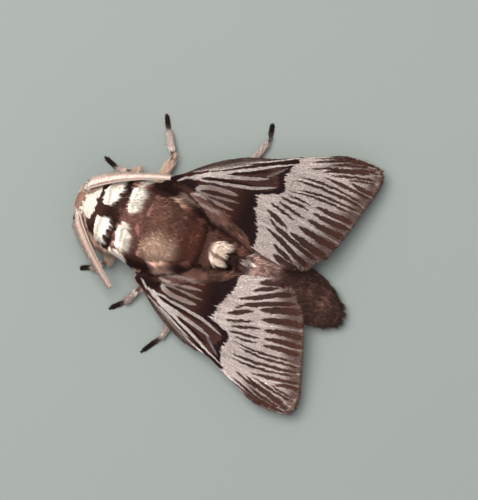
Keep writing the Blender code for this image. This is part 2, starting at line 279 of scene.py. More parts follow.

# %% [markdown]
# ## The forewing's veins and streaks
# The forewing is greyish pink, with dark brown streaks that lie between its pale veins and a
# near-black field over its inner half. Each line is a short list of plan places, given in order
# from its start near the body to its end at the margin.

# %% The forewing's lines
VEINS = (
    ((6.5, 5.5), (8.0, 7.6), (10.7, 11.2), (13.3, 15.4), (15.9, 20.6), (17.8, 25.2), (18.9, 29.6),
     (19.0, 33.0)),
    ((13.6, 16.6), (16.3, 23.2), (18.5, 28.2), (18.9, 31.9)),
    ((15.7, 23.6), (18.1, 29.1), (18.5, 32.6)),
    ((15.7, 25.7), (17.2, 28.8), (18.2, 33.3)),
    ((15.4, 26.1), (16.5, 29.0), (17.8, 33.7)),
    ((15.4, 28.0), (16.2, 30.5), (16.6, 33.6)),
    ((10.7, 14.1), (13.9, 20.5), (15.1, 25.6), (15.3, 28.9), (15.0, 31.0), (14.6, 33.6)),
    ((11.8, 18.5), (13.5, 23.5), (13.85, 27.1), (13.4, 30.1), (12.9, 33.0)),
    ((8.9, 12.5), (10.6, 19.5), (11.4, 22.6), (12.1, 26.3), (12.2, 29.2), (11.8, 32.8)),
    ((9.0, 16.0), (9.6, 22.7), (10.1, 27.1), (9.9, 29.4), (9.6, 32.2)),
    ((8.4, 15.5), (8.4, 21.8), (8.1, 25.0), (7.5, 28.0), (6.9, 31.5)),
    ((7.4, 16.0), (7.3, 21.3), (6.5, 24.3), (5.6, 26.5), (4.3, 30.2)),
    ((6.4, 14.5), (5.8, 21.1), (4.3, 24.2), (3.2, 26.2), (2.1, 28.6)),
    ((5.2, 13.5), (3.9, 18.5), (2.1, 22.6), (1.5, 24.0), (0.8, 25.3), (0.5, 26.2)),
)
DARK_STREAKS = (
    (0.9, (2.5, 23.2), (1.7, 25.2), (1.3, 27.5)),
    (0.55, (3.8, 22.6), (2.2, 26.2)),
    (0.62, (5.6, 21.1), (4.6, 23.5), (3.0, 26.8), (2.3, 28.6)),
    (0.55, (6.9, 21.0), (5.9, 22.7), (5.2, 24.6), (4.4, 26.8), (3.6, 29.2)),
    (0.6, (7.9, 20.2), (7.3, 21.8), (6.5, 23.9)),
    (0.85, (6.1, 24.4), (5.5, 26.4), (4.9, 28.6), (4.4, 30.6)),
    (0.38, (8.9, 20.4), (8.3, 22.8), (7.9, 24.4)),
    (0.75, (7.3, 25.2), (6.9, 27.0), (6.4, 29.0), (6.2, 31.2)),
    (0.34, (9.5, 21.3), (9.0, 23.5), (8.5, 25.6)),
    (0.7, (8.6, 26.0), (8.2, 28.2), (8.0, 30.2), (7.9, 31.8)),
    (0.36, (10.2, 21.3), (10.0, 23.6), (9.8, 26.0)),
    (0.66, (9.6, 26.4), (9.35, 28.6), (9.2, 32.0)),
    (0.28, (10.7, 22.3), (10.75, 24.0), (10.5, 25.9)),
    (0.62, (10.6, 26.6), (10.4, 29.0), (10.3, 32.0)),
    (0.26, (11.3, 22.2), (11.7, 25.0), (11.75, 28.0), (11.5, 31.6)),
    (0.32, (12.0, 23.3), (12.35, 27.0), (12.3, 29.5), (12.1, 32.4)),
    (0.38, (13.1, 22.5), (13.35, 26.0), (13.2, 29.0), (12.9, 32.6)),
    (0.24, (13.7, 22.9), (14.0, 25.0), (14.0, 27.0), (13.9, 29.0), (13.5, 32.2)),
    (0.36, (14.95, 26.2), (14.85, 27.8), (14.7, 29.5), (14.5, 31.5), (14.3, 33.2)),
    (0.42, (15.4, 30.1), (15.2, 31.6), (15.0, 33.6)),
    (0.32, (15.3, 24.2), (15.8, 25.3), (16.2, 26.5), (16.6, 28.0), (17.1, 29.5), (17.6, 31.0),
     (18.1, 33.1)),
    (0.27, (15.5, 25.8), (16.1, 27.3), (16.5, 28.8), (16.9, 30.0), (17.5, 32.2)),
    (0.27, (15.4, 27.0), (15.8, 28.5), (16.2, 29.8), (16.5, 31.0), (16.9, 32.8)),
    (0.22, (15.6, 29.6), (16.0, 30.8), (16.5, 33.0)),
    (0.27, (16.2, 24.0), (16.9, 25.4), (17.4, 26.7), (17.9, 28.0), (18.3, 29.3), (18.6, 30.6),
     (18.8, 32.4)),
    (0.15, (16.8, 24.1), (17.6, 26.0), (18.2, 27.7), (18.6, 29.0), (18.9, 30.6)),
    (0.12, (17.2, 23.8), (18.0, 26.0), (18.5, 27.8), (18.9, 29.6)),
    (0.25, (16.8, 26.6), (17.4, 28.2), (17.9, 29.6), (18.4, 31.6)),
)
# The ragged edge of the dark field, from the inner margin to the front edge.
FIELD_EDGE = (
    (0.0, 18.6), (1.4, 19.2), (2.4, 20.0), (3.0, 20.5), (3.5, 20.55), (4.7, 20.05), (6.0, 19.4),
    (6.8, 18.85), (7.6, 18.55), (8.6, 18.4), (9.15, 18.1), (9.45, 18.3), (9.9, 19.7), (10.3, 20.7),
    (10.9, 21.6), (11.4, 21.75), (12.2, 21.4), (12.9, 21.2), (13.6, 21.2), (14.4, 21.5), (15.2, 21.9),
    (16.0, 22.3), (17.0, 22.8), (20.0, 23.2),
)
# Lines in the dark field: (tone from dark 0 to pale 1, width, places).
FIELD_LINES = (
    (0.3, 0.45, (6.3, 9.85), (5.85, 10.4), (5.45, 11.3), (5.2, 12.3), (5.05, 13.5), (5.1, 14.8),
     (5.3, 15.9)),
    (0.7, 0.4, (6.3, 9.8), (6.45, 10.8), (6.5, 11.8), (6.4, 12.8), (6.25, 13.8), (6.15, 14.8),
     (6.1, 15.8)),
    (0.6, 0.34, (6.8, 9.9), (6.8, 11.2), (6.9, 12.5), (7.1, 13.8), (7.25, 15.0), (7.3, 16.2)),
    (0.75, 0.6, (6.9, 9.9), (7.5, 10.5), (7.85, 11.3), (8.05, 12.2), (8.15, 13.2), (8.2, 14.2),
     (8.2, 15.6)),
    (0.05, 0.4, (7.05, 10.5), (7.2, 12.0), (7.5, 13.6), (7.75, 15.6)),
    (0.1, 0.3, (6.6, 11.8), (6.65, 13.2), (6.65, 15.2)),
    (0.05, 0.34, (8.3, 10.6), (8.5, 12.0), (8.65, 13.4), (8.85, 15.4)),
    (0.9, 0.26, (7.0, 7.05), (7.9, 8.0), (8.25, 8.7), (8.45, 9.6), (8.55, 10.6), (8.75, 11.5),
     (8.95, 12.4)),
    (0.72, 0.36, (8.8, 11.6), (9.1, 13.2), (9.35, 14.6), (9.6, 15.8), (9.8, 16.9), (10.15, 18.0),
     (11.1, 20.4)),
    (1.0, 0.55, (8.15, 8.6), (8.7, 9.6), (9.2, 10.5), (9.7, 11.6), (10.0, 12.6), (10.3, 13.8),
     (10.6, 15.2)),
    (0.62, 0.4, (10.3, 13.6), (10.65, 15.2), (11.0, 16.4), (11.4, 17.6), (11.9, 19.0)),
    (0.0, 0.42, (8.7, 10.1), (9.1, 11.3), (9.4, 12.6), (9.65, 14.0), (9.95, 15.5), (10.3, 17.4)),
    (1.0, 0.34, (9.2, 9.9), (9.75, 11.0), (10.2, 12.0), (10.65, 13.0), (11.15, 14.0), (11.65, 15.0),
     (12.1, 16.0), (12.6, 16.9), (13.05, 17.7), (13.5, 18.5), (14.0, 19.4), (14.5, 20.5), (15.1, 21.8)),
    (0.0, 0.36, (10.7, 13.8), (11.1, 14.7), (11.5, 15.7), (12.0, 16.8), (12.5, 17.8), (13.0, 18.9)),
    (1.0, 0.22, (10.0, 10.7), (10.7, 12.0), (11.35, 13.1), (11.9, 14.1), (12.4, 15.0), (12.9, 16.1)),
    (0.0, 0.15, (9.7, 10.4), (10.3, 11.6), (10.9, 12.8), (11.5, 14.0), (12.1, 15.2), (12.7, 16.3),
     (13.2, 17.3), (13.7, 18.3)),
    (0.0, 0.15, (10.3, 10.9), (10.9, 12.0), (11.5, 13.0), (12.05, 14.0), (12.55, 15.0), (13.0, 15.9),
     (13.5, 17.0)),
    (0.0, 0.5, (13.2, 17.2), (13.8, 18.2), (14.4, 19.4), (15.0, 20.8), (15.6, 22.3)),
    (1.0, 0.34, (9.1, 8.8), (9.9, 10.0), (10.65, 11.2), (11.25, 12.2), (11.8, 13.1), (12.3, 14.0),
     (12.8, 15.0), (13.3, 16.0), (13.75, 17.0), (14.2, 18.0), (14.7, 19.0), (15.2, 20.0), (15.7, 21.1),
     (16.3, 22.3)),
    (0.0, 0.34, (9.1, 8.2), (10.2, 9.9), (11.2, 11.4), (12.0, 12.8), (12.7, 14.0), (13.2, 15.0),
     (13.65, 16.1), (14.05, 17.1), (14.5, 18.2), (15.0, 19.3), (15.5, 20.3), (16.1, 21.5), (16.6, 22.6)),
    (0.22, 0.34, (12.0, 18.6), (12.8, 19.5), (13.5, 20.3), (14.2, 21.0)),
)

# %% [markdown]
# ## The forewing's colours
# The layers go on in the order in which they hide each other: ground, pale veins, dark streaks,
# dark field with its own lines, front edge, and the thin line round the margin.

# %% The forewing's paint
WING_GROUND = paint("EAD4CC")
WING_PALE = paint("FFEDE3")
WING_WARM = paint("6E5248")
STREAK_BROWN = paint("5E3A2E")
STREAK_DARK = paint("45251B")
FIELD_BROWN = paint("5C3428")
FIELD_OUTER = paint("6C473D")
FIELD_BLACK = paint("2E191A")
FIELD_DARK = paint("361C16")
MARGIN_BROWN = paint("7E6A62")
BASE_HAIR = paint("BA968B")


def pale_ground(places, margin, seed):
    """The ground of the wing, browner towards its margin, with pale veins and the streaks between."""
    v, u = places.T
    reach = np.interp(v, (2, 9, 13, 17), (6.2, 4.8, 3.2, 3.0))
    outer = 1 - smooth(margin + 0.35 * grain(places, 0.8, seed + 5), 0.3 * reach, reach)
    outer = outer * smooth(u, 25.0, 27.5)
    vein_distance = np.min([along_route(places, route)[0] for route in VEINS], axis=0)
    colours = painted(
        WING_GROUND, places,
        (WING_PALE, 0.25 + 0.25 * grain(places, 2.2, seed + 2)),
        (WING_WARM, 0.08 + 0.17 * grain(places * (1.0, 0.12), 0.2, seed + 6)),
        (WING_WARM, 0.92 * outer),
        (WING_PALE, 0.8 * np.clip((0.13 - vein_distance) / 0.07, 0, 1) * (1 - 0.6 * outer)),
    )
    ragged = places + 0.10 * wobble(places, 0.3, seed)
    wider = 1.15 + 0.2 * smooth(v, 12.0, 15.0)
    tone = painted(STREAK_DARK, places, (STREAK_BROWN, smooth(u, 26.0, 30.5)))
    for width, *route in DARK_STREAKS:
        end_tip = 0.4 if route[-1][1] < 27.5 else 0.1
        depth = streak(ragged, route, width * wider + 0.04, 0.08, (0.35, end_tip))
        colours = over(colours, tone, 0.96 * depth)
    beyond = v - np.interp(u, (20.5, 26.8), (1.6, 0.45)) + 0.3 * grain(places, 0.5, seed + 7)
    inner = (1 - smooth(beyond, 0.0, 1.0)) * smooth(u, 19.5, 21.0) * (1 - smooth(u, 24.5, 26.0))
    return over(colours, BASE_HAIR * 1.2, 0.7 * inner)


print(f"{len(VEINS)} veins and {len(DARK_STREAKS)} streaks on the pale ground")

# %% Paint the forewing's dark field and its edges


def forewing_colour(places, margin, seed=51):
    """Colours of the forewing's upper side. Margin is the distance to its edge in millimetres."""
    v, u = places.T
    jagged = 0.30 * grain(places * (1.0, 0.25), 0.22, seed + 3) + 0.12 * grain(places, 0.8, seed + 4)
    inside = np.interp(v, *np.array(FIELD_EDGE).T) + jagged - u
    later = np.interp(v, (3.0, 4.6), (1.6, 0.0))
    outer_brown = 0.8 * smooth(v, 9.6, 10.6) * (1 - 0.2 * smooth(inside, 0.2, 1.6)) * (inside > 1.1)
    field = painted(
        FIELD_BROWN, places,
        (FIELD_BLACK, smooth(u - later, 14.4, 17.8)),
        (FIELD_OUTER, outer_brown),
        (FIELD_BLACK, patch(places, (4.3, 3.0), (8.1, 10.0), 1.0, 0.8)),
    )
    colours = over(pale_ground(places, margin, seed), field, inside / 0.12 + 0.5)
    fine = places + 0.04 * wobble(places, 0.3, seed)
    inner = smooth(u, 9.8, 12.0) * smooth(-v, -9.0, -8.0)
    silk = painted(WING_PALE, places, (BASE_HAIR, 0.75 * inner))
    for tone, width, *route in FIELD_LINES:
        depth = streak(fine, route, (1.05 + 0.15 * tone) * width, 0.07, (0.08, 0.3))
        colours = over(colours, painted(FIELD_DARK, places, (silk, tone)), 0.97 * depth)
    front = np.clip((np.interp(u, (9.0, 14.0), (0.2, 0.42)) - margin) / 0.1, 0, 1) * smooth(v, 8.6, 9.6)
    colours = over(colours, MARGIN_BROWN, 0.9 * front * (1 - smooth(u, 16.5, 19.5)))
    rim = np.exp(-(((margin - 0.24) / 0.1) ** 2)) + 0.5 * (margin < 0.24)
    return over(colours, STREAK_DARK, 0.6 * rim * smooth(u, 22.0, 27.0))


print(f"{len(FIELD_LINES)} lines in the dark field")

# %% Paint the hindwing and the under sides
UNDERSIDE = paint("7D6058")
UNDERSIDE_PALE = paint("9B8178")
UNDERSIDE_DARK = paint("5C443D")
HINDWING = paint("6C5A51")
HINDWING_DARK = paint("4A3730")


def underside_colour(places, seed=53):
    """The wings' under side is plain warm brown, paler towards the margin."""
    paler = 0.5 * smooth(places[:, 1], 18.0, 32.0)
    clouds = 0.4 + 0.4 * grain(places, 1.2, seed)
    return painted(UNDERSIDE, places, (UNDERSIDE_PALE, paler), (UNDERSIDE_DARK, clouds))


def hindwing_colour(places, seed=52):
    """The hindwing is smoky brown."""
    return painted(HINDWING, places, (HINDWING_DARK, 0.45 + 0.45 * grain(places, 0.9, seed)))


print("the under side, in linear numbers:", np.round(UNDERSIDE, 3))

# %% [markdown]
# ## The body's colours
# Rows of cream tufts stand in near-black fur on the head and behind it. Then the thorax is a round
# shield of brown hair, and the abdomen carries a cream tuft and a black one.

# %% The body's paint
CREAM = paint("FFF4E4")
NEAR_BLACK = paint("3A231D")
FACE = paint("A98675")
DISC_FRONT = paint("9B6E64")
DISC = paint("84574B")
DISC_TAN = paint("FFD6BA")
TUFT_TAN = paint("FFD2BC")
DISC_REAR = paint("8A5646")
BELLY = paint("7A5D50")
ABDOMEN = paint("4C342D")
WAIST = paint("754D42")
TAIL = paint("705046")
PALE_DASH = paint("FFECE0")
# Corners of the cream tufts on the plan, each in order round the tuft.
CREAM_TUFTS = (
    ((-1.85, -3.3), (-1.3, -3.95), (2.3, -4.0), (3.0, -3.2), (3.5, -2.4), (3.1, -2.15), (1.0, -2.05),
     (-1.95, -2.15)),
    ((-4.6, 0.3), (-3.9, -0.6), (-2.9, -1.05), (-1.9, -1.2), (-0.95, -1.1), (-0.85, 0.6), (-1.8, 0.9),
     (-4.2, 0.7)),
    ((0.65, -0.5), (1.0, -0.9), (2.2, -1.2), (3.3, -0.95), (4.2, -0.2), (4.8, 0.7), (4.5, 0.95),
     (2.6, 0.85), (0.8, 0.1)),
    ((-4.6, 2.6), (-3.9, 2.3), (-1.5, 1.95), (-0.75, 2.2), (-0.75, 2.9), (-2.4, 4.2), (-4.2, 4.0),
     (-4.7, 3.5)),
    ((0.9, 2.5), (1.6, 2.1), (3.6, 2.15), (4.5, 2.4), (4.6, 3.6), (4.2, 4.0), (1.3, 3.8), (0.85, 3.2)),
    ((-6.4, 1.8), (-5.6, 1.3), (-5.1, 1.4), (-4.7, 2.5), (-4.9, 3.7), (-6.4, 3.7)),
    ((4.8, 2.3), (5.6, 2.2), (6.6, 2.9), (6.6, 3.7), (5.2, 3.7), (4.85, 3.2)),
)
# Middle and radii of the two halves of the cream crest, and the parting between them.
CREST_LOBES = (((-1.15, 16.4), (1.15, 1.6)), ((0.7, 16.5), (1.2, 1.7)))
PARTING = ((-0.1, 14.4), (-0.4, 16.0), (-0.9, 17.8))
print(f"{len(CREAM_TUFTS)} cream tufts on the body")

# %% Mask the cream tufts


def tuft_mask(places, soft):
    """Mask of the cream tufts: each is the part of the plan inside all its sides."""
    best = np.full(len(places), -1e9)
    for corners in CREAM_TUFTS:
        starts = np.array(corners)
        ways = np.roll(starts, -1, axis=0) - starts
        outward = unit(np.column_stack([ways[:, 1], -ways[:, 0]]))
        gap = ((places[:, None] - starts[None]) * outward[None]).sum(axis=2).max(axis=1)
        best = np.maximum(best, -gap)
    return np.clip(best / soft + 0.5, 0, 1)


print(f"cream tufts cover {tuft_mask(plan_rows + (2, 0), 0.1).sum():.0f} of four places behind the head")

# %% Paint the body


def body_colour(points, seed=11):
    """Colours of the fur on head, thorax and abdomen, with painted shade behind the thorax and between the
    wings.
    """
    places = plan(points)
    v, u = places.T
    beside, height = np.abs(v), points[:, 2] / MM
    ragged = places + 0.22 * wobble(places, 0.35, seed)
    soft_edge = 0.4 * ragged + 0.6 * places
    streaky = grain(places * (1.0, 0.4), 0.28, seed + 1)
    jagged = places + 0.32 * np.column_stack([grain(places, 0.3, seed), streaky])
    waist = 1 - smooth(u, 19.0, 21.0)
    rear = smooth(u, 25.0, 26.6)
    tail = TAIL * np.interp(u, (31.5, 34.0), (1.0, 1.6))[:, None]
    cream = CREAM * np.interp(u, (-2.6, -1.2, 1.0, 2.0), (0.97, 0.88, 0.88, 1.0))[:, None]
    band = smooth(-u, -2.1, -1.7) * smooth(u, -2.45, -2.1)
    saddle = patch(ragged, (-0.7, 1.7), (0.9, 6.0), 0.5, 0.8)
    crest = np.max([oval(soft_edge, *lobe, 0.2) for lobe in CREST_LOBES], axis=0) * smooth(height, 5.4, 5.9)
    black_tuft = oval(soft_edge, (-0.6, 18.42), (1.55, 0.98), 0.2) * smooth(height, 4.2, 4.8)
    dash = streak(places, ((-0.05, 19.85), (-0.1, 22.1)), 1.3, 0.12, (0.04, 0.95)) * smooth(height, 1.0, 1.4)
    return painted(
        DISC, places,
        (DISC_FRONT, 0.9 * (1 - smooth(u, 3.0, 8.0))),
        (DISC_TAN, 0.95 * patch(ragged, (-4.5, 6.1), (-0.8, 10.2), 1.7, 2.2)),
        (DISC_TAN, 0.06 * patch(ragged, (-0.8, 5.0), (4.4, 9.8), 1.6, 2.4)),
        (DISC_REAR, 0.9 * smooth(u + 0.12 * beside, 9.6, 12.6)),
        # Painted shade: near-black patches in the hollows between the rear of the thorax and the wing bases.
        (NEAR_BLACK, 0.85 * patch(ragged, (-6.0, 9.9), (-3.5, 14.2), 1.0, 0.9)),
        (NEAR_BLACK, 0.65 * patch(ragged, (3.1, 10.0), (6.0, 14.2), 1.0, 1.1)),
        (ABDOMEN, smooth(u, 12.8, 14.6)),
        (WAIST, 0.8 * smooth(u, 15.0, 16.6) * waist),
        (NEAR_BLACK, 0.5 * smooth(u, 14.6, 17.0) * waist * smooth(beside, 3.2, 4.2)),
        (BASE_HAIR, 0.9 * smooth(u + 0.8 * beside, 20.8, 23.4) * (1 - smooth(u, 24.6, 26.2))),
        (tail, rear),
        (ABDOMEN, (0.35 + 0.35 * grain(places, 1.6, seed + 2)) * rear),
        # Painted shadow: a near-black patch on the abdomen just right of the midline, between the wings'
        # inner edges.
        (NEAR_BLACK, 0.7 * patch(ragged, (0.0, 25.6), (2.6, 30.0), 1.0, 1.4)),
        (NEAR_BLACK, patch(ragged, (4.55, 3.7), (8.5, 9.9), 1.0, 0.5)),
        (NEAR_BLACK, patch(ragged, (-8.5, 3.7), (-4.65, 7.9), 1.0, 0.5)),
        (TUFT_TAN, 0.85 * patch(ragged, (-6.4, 7.6), (-4.8, 10.2), 0.8, 1.2)),
        (TUFT_TAN, 0.85 * patch(ragged, (4.8, 7.8), (6.2, 10.2), 0.7, 1.2)),
        (NEAR_BLACK, band * (1 - 0.9 * saddle)),
        (NEAR_BLACK, patch(ragged, (-3.6, -3.9), (-1.8, -1.4), 0.3, 0.3)),
        (FACE, smooth(-u, 4.0, 4.25)),
        (BELLY, smooth(-height, -4.4, -2.8) * (u < 13.0) * (u > -4.6)),
        (ABDOMEN, smooth(-height, -3.0, -1.6) * (u > 12.5)),
        (cream, tuft_mask(jagged, 0.14) * smooth(height, 3.6, 4.8)),
        (CREAM * (0.86, 0.76, 0.72), crest),
        (BELLY * 0.8, 0.85 * streak(places, PARTING, 0.4, 0.12) * crest),
        (NEAR_BLACK * 0.45, black_tuft),
        (PALE_DASH, dash),
    )


shield = body_colour(np.array([from_plan(1.0, 0.0, 8.0, 8.0)]))[0]
print("the middle of the thorax, in linear numbers:", np.round(shield, 3))

# %% [markdown]
# ## Finishes
# A furred or scaled surface takes its colour from an attribute, one colour for each tuft, and a
# fine noise breaks that up so that no two hairs match. Sheen gives the soft rim that dense fur has.

# %% Helpers for nodes


def new_finish(name, **inputs):
    """A material, its nodes, and its shader with these inputs set. Names have _ for a space."""
    made = bpy.data.materials.new(name)
    made.use_nodes = True
    shader = made.node_tree.nodes["Principled BSDF"]
    for key, value in inputs.items():
        shader.inputs[key.replace("_", " ")].default_value = value
    return made, made.node_tree, shader


def feed(tree, socket, value):
    """Sets an input, or links it if the value is another node's output."""
    if hasattr(value, "is_output"):
        tree.links.new(value, socket)
    else:
        socket.default_value = value


def add_node(tree, kind, output, **inputs):
    """Adds a node with these inputs and gives one of its outputs."""
    node = tree.nodes.new(kind)
    for key, value in inputs.items():
        feed(tree, node.inputs[key.replace("_", " ")], value)
    return node.outputs[output]


def add_mix(tree, kind, factor, first, second):
    """Mixes two colours by a factor and gives the result."""
    node = tree.nodes.new("ShaderNodeMix")
    node.data_type = "RGBA"
    node.blend_type = kind
    # A mix node has a set of sockets for each kind of data. These are the factor's and the colours'.
    for number, value in zip((0, 6, 7), (factor, first, second)):
        feed(tree, node.inputs[number], value)
    return node.outputs[2]


print("finishes are made of nodes, each a value or a link")

# %% The coats' finishes


def coat_finish(name, roughness, sheen, fleck, bump, contrast):
    """Fur or scales: the piece's own colours, broken up by a noise of fleck metres."""
    made, tree, shader = new_finish(
        name, Roughness=roughness, Sheen_Weight=sheen, Sheen_Roughness=0.5, Specular_IOR_Level=0.08
    )
    own = tree.nodes.new("ShaderNodeAttribute")
    own.attribute_name = "coat_colour"
    place = add_node(tree, "ShaderNodeTexCoord", "Object")
    noise = add_node(tree, "ShaderNodeTexNoise", "Fac", Vector=place, Scale=1 / fleck, Detail=3.0)
    darkest, palest = 1 - contrast, 1 + 0.7 * contrast
    span = {"From_Min": 0.3, "From_Max": 0.7, "To_Min": darkest, "To_Max": palest}
    tone = add_node(tree, "ShaderNodeMapRange", "Result", Value=noise, **span)
    relief = add_node(tree, "ShaderNodeBump", "Normal", Height=noise, Strength=bump, Distance=0.05 * MM)
    colour = add_mix(tree, "MULTIPLY", 1.0, own.outputs["Color"], tone)
    tree.links.new(colour, shader.inputs["Base Color"])
    tree.links.new(relief, shader.inputs["Normal"])
    return made


fur_finish = coat_finish("fur", 0.85, 0.015, 0.00035, 0.2, 0.16)
scale_finish = coat_finish("wing_scales", 0.7, 0.015, 0.00025, 0.2, 0.08)
skin_finish = coat_finish("skin_under_fur", 0.85, 0.05, 0.0004, 0.5, 0.22)
shell_finish = coat_finish("leg_shell", 0.45, 0.05, 0.0003, 0.3, 0.2)
feeler_finish = coat_finish("feeler", 0.8, 0.02, 0.0003, 0.2, 0.1)
print(f"{fur_finish.name} has {len(fur_finish.node_tree.nodes)} nodes")

# %% [markdown]
# ## Working with pieces
# A few helpers are needed again and again: a merged copy of a solid to shape a piece from, its
# points and triangles as arrays, and a colour attribute.

# %% Select, weld and join pieces


def select_only(*pieces):
    """Selects these pieces alone and makes the first active, so that operators act on nothing else."""
    bpy.ops.object.select_all(action="DESELECT")
    for piece in pieces:
        piece.select_set(True)
    bpy.context.view_layer.objects.active = pieces[0]


def edit_only(items, chosen):
    """Opens the active piece in edit mode with only the chosen points or faces selected."""
    bpy.ops.object.mode_set(mode="EDIT")
    bpy.ops.mesh.select_all(action="DESELECT")
    bpy.ops.object.mode_set(mode="OBJECT")
    items.foreach_set("select", chosen)
    bpy.ops.object.mode_set(mode="EDIT")


def weld(distance, outwards):
    """Joins the active piece's doubled points, and can turn its faces outwards."""
    bpy.ops.object.mode_set(mode="EDIT")
    bpy.ops.mesh.select_all(action="SELECT")
    bpy.ops.mesh.remove_doubles(threshold=distance)
    if outwards:
        bpy.ops.mesh.normals_make_consistent(inside=False)
    bpy.ops.object.mode_set(mode="OBJECT")


def merged_copy(node, name):
    """A new object with a solid's shape, its loose triangles joined at their corners."""
    made = placed(name, frame["nodes"][node].data.copy())
    made.data.name = name
    made.data.materials.clear()
    select_only(made)
    weld(1e-6, False)
    return made


def joined(pieces, name):
    """Several pieces as one, which keeps the first one's place in the scene."""
    select_only(*pieces)
    bpy.ops.object.join()
    pieces[0].name = name
    return pieces[0]


def apply_modifier(piece, kind, **settings):
    """Adds a modifier with these settings and applies it."""
    select_only(piece)
    bpy.ops.object.modifier_add(type=kind)
    modifier = piece.modifiers[-1]
    for key, value in settings.items():
        setattr(modifier, key, value)
    bpy.ops.object.modifier_apply(modifier=modifier.name)


trial = merged_copy("thorax", "trial")
print(f"thorax: {len(trial.data.vertices)} points when its triangles are joined")
bpy.data.objects.remove(trial)

# %% Read and change a mesh


def read(items, key, width=1, kind=float):
    """One property of many points, corners or faces as an array, with width numbers in each row."""
    values = np.empty(len(items) * width, kind)
    items.foreach_get(key, values)
    return values.reshape(-1, width) if width > 1 else values


def points_of(piece):
    """A piece's points, in metres."""
    return read(piece.data.vertices, "co", 3)


def normals_of(piece):
    """The surface's direction at each of a piece's points."""
    return read(piece.data.vertices, "normal", 3)


def corners_of(piece):
    """For each corner of a piece's faces, its point's number and its face's number."""
    sizes = read(piece.data.polygons, "loop_total", kind=np.int32)
    return read(piece.data.loops, "vertex_index", kind=np.int32), np.repeat(np.arange(len(sizes)), sizes)


def move_points(piece, points):
    """Puts a piece's points at new places."""
    piece.data.vertices.foreach_set("co", points.ravel())
    piece.data.update()


def set_colours(piece, colours):
    """Stores one colour for each point."""
    layer = piece.data.color_attributes.new("coat_colour", "FLOAT_COLOR", "POINT")
    layer.data.foreach_set("color", np.column_stack([colours, np.ones(len(colours))]).ravel())


def set_map(piece, flat):
    """Stores a place on the unwrapped map for each corner."""
    piece.data.uv_layers.new(name="OFBake").data.foreach_set("uv", flat.ravel())


print(f"the thorax solid is {np.ptp(points_of(frame['nodes']['thorax']), axis=0)[1] / MM:.1f} mm long")

# %% Finish a piece


def finish_piece(piece, finish, slot, *nodes):
    """Gives a piece its finish and its body, and hides the solids that it stands for. The slot is not used.
    """
    piece.data.materials.clear()
    piece.data.materials.append(finish)
    piece.data.shade_smooth()
    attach(piece, body_name)
    if nodes:
        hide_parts(*nodes)


def finish_all(pieces, finish, slot, what):
    """Finishes joined tufts, and says how many there are."""
    for piece in pieces:
        finish_piece(piece, finish, slot)
    triangles = sum(len(piece.data.polygons) for piece in pieces)
    print(f"{what}: {len(pieces)} pieces, {triangles} triangles")


print("finishes:", ", ".join(finish.name for finish in bpy.data.materials if finish.users == 0))

# %% [markdown]
# ## One tuft
# Every hair lock and wing scale is a copy of one small shape: a blade with three sides, pointed at
# its root, widest before its middle and drawn out to a tip. It is modelled once, as a cone with
# three sides whose base is pulled down to a point, and then bent and stretched into each tuft.
# Six triangles are enough, because only thousands of them together make a coat.

# %% Model the tuft
WIDEST = 0.36
bpy.ops.object.select_all(action="DESELECT")
bpy.ops.mesh.primitive_cone_add(
    vertices=3, radius1=0.5, depth=1 - WIDEST, location=(0, 0, (1 + WIDEST) / 2), end_fill_type="TRIFAN"
)
bpy.ops.object.transform_apply(location=True, rotation=True, scale=True)
tuft = bpy.context.object
bpy.context.tool_settings.mesh_select_mode = (True, False, False)
base_middle = [math.hypot(*point.co[:2]) < 0.1 and point.co.z < 0.9 for point in tuft.data.vertices]
edit_only(tuft.data.vertices, base_middle)
bpy.ops.transform.translate(value=(0, 0, -WIDEST))
bpy.ops.mesh.select_all(action="SELECT")
bpy.ops.mesh.normals_make_consistent(inside=False)
bpy.ops.object.mode_set(mode="OBJECT")
TUFT_POINTS = points_of(tuft)
TUFT_FACES = np.array([list(face.vertices) for face in tuft.data.polygons])
# Each point's place in the tuft's small patch of the map: along it, and round it.
TUFT_ROUND = np.arctan2(TUFT_POINTS[:, 1], TUFT_POINTS[:, 0]) / (2 * math.pi) + 0.5
TUFT_MAP = np.column_stack([TUFT_POINTS[:, 2], TUFT_ROUND])
bpy.data.objects.remove(tuft)
print(f"one tuft: {len(TUFT_POINTS)} points, {len(TUFT_FACES)} triangles")

# %% [markdown]
# ## Laying tufts
# A coat is grown in two steps. First roots are scattered evenly over a surface. Then a tuft is laid
# at each root: it leaves the skin at one angle, bends down to another, and leans towards its
# neighbours' common tip, which parts the coat into locks as real fur parts.

# %% Scatter roots


def scatter(piece, count, seed, weight):
    """Even random roots on a piece, more where its weight is high: (points, surface directions)."""
    piece.data.calc_loop_triangles()
    corners = read(piece.data.loop_triangles, "vertices", 3, np.int32)
    points, normals = points_of(piece), normals_of(piece)
    a, b, c = (points[corners[:, i]] for i in range(3))
    facing = np.cross(b - a, c - a)
    total = np.cumsum(np.linalg.norm(facing, axis=1) * weight((a + b + c) / 3, unit(facing)))
    rng = np.random.default_rng(seed)
    wanted = (np.arange(count) + rng.random(count)) / count * total[-1]
    chosen = corners[np.minimum(np.searchsorted(total, wanted), len(total) - 1)]
    first, second = rng.random(count), rng.random(count)
    flip = first + second > 1
    first[flip], second[flip] = 1 - first[flip], 1 - second[flip]
    parts = np.column_stack([1 - first - second, first, second])[:, :, None]
    return (points[chosen] * parts).sum(axis=1), unit((normals[chosen] * parts).sum(axis=1))


def lock_pull(roots, tips, size, seed):
    """How far each tip moves to meet the tip of the lock that its root belongs to."""
    x, y, z = np.ptp(roots, axis=0)
    count = int(np.clip((x * y + y * z + x * z) / (size * MM) ** 2, 4, len(roots) // 5))
    chosen = np.random.default_rng(seed).choice(len(roots), count, replace=False)
    tree = kdtree.KDTree(count)
    for i, one in enumerate(chosen):
        tree.insert(roots[one], i)
    tree.balance()
    lock = np.array([tree.find(root)[1] for root in roots])
    return tips[chosen[lock]] - tips


print("roots are spread by area, and more where a weight is high")

# %% Turn tufts into a mesh
PATCH = 0.003
MOST_TUFTS = 30000


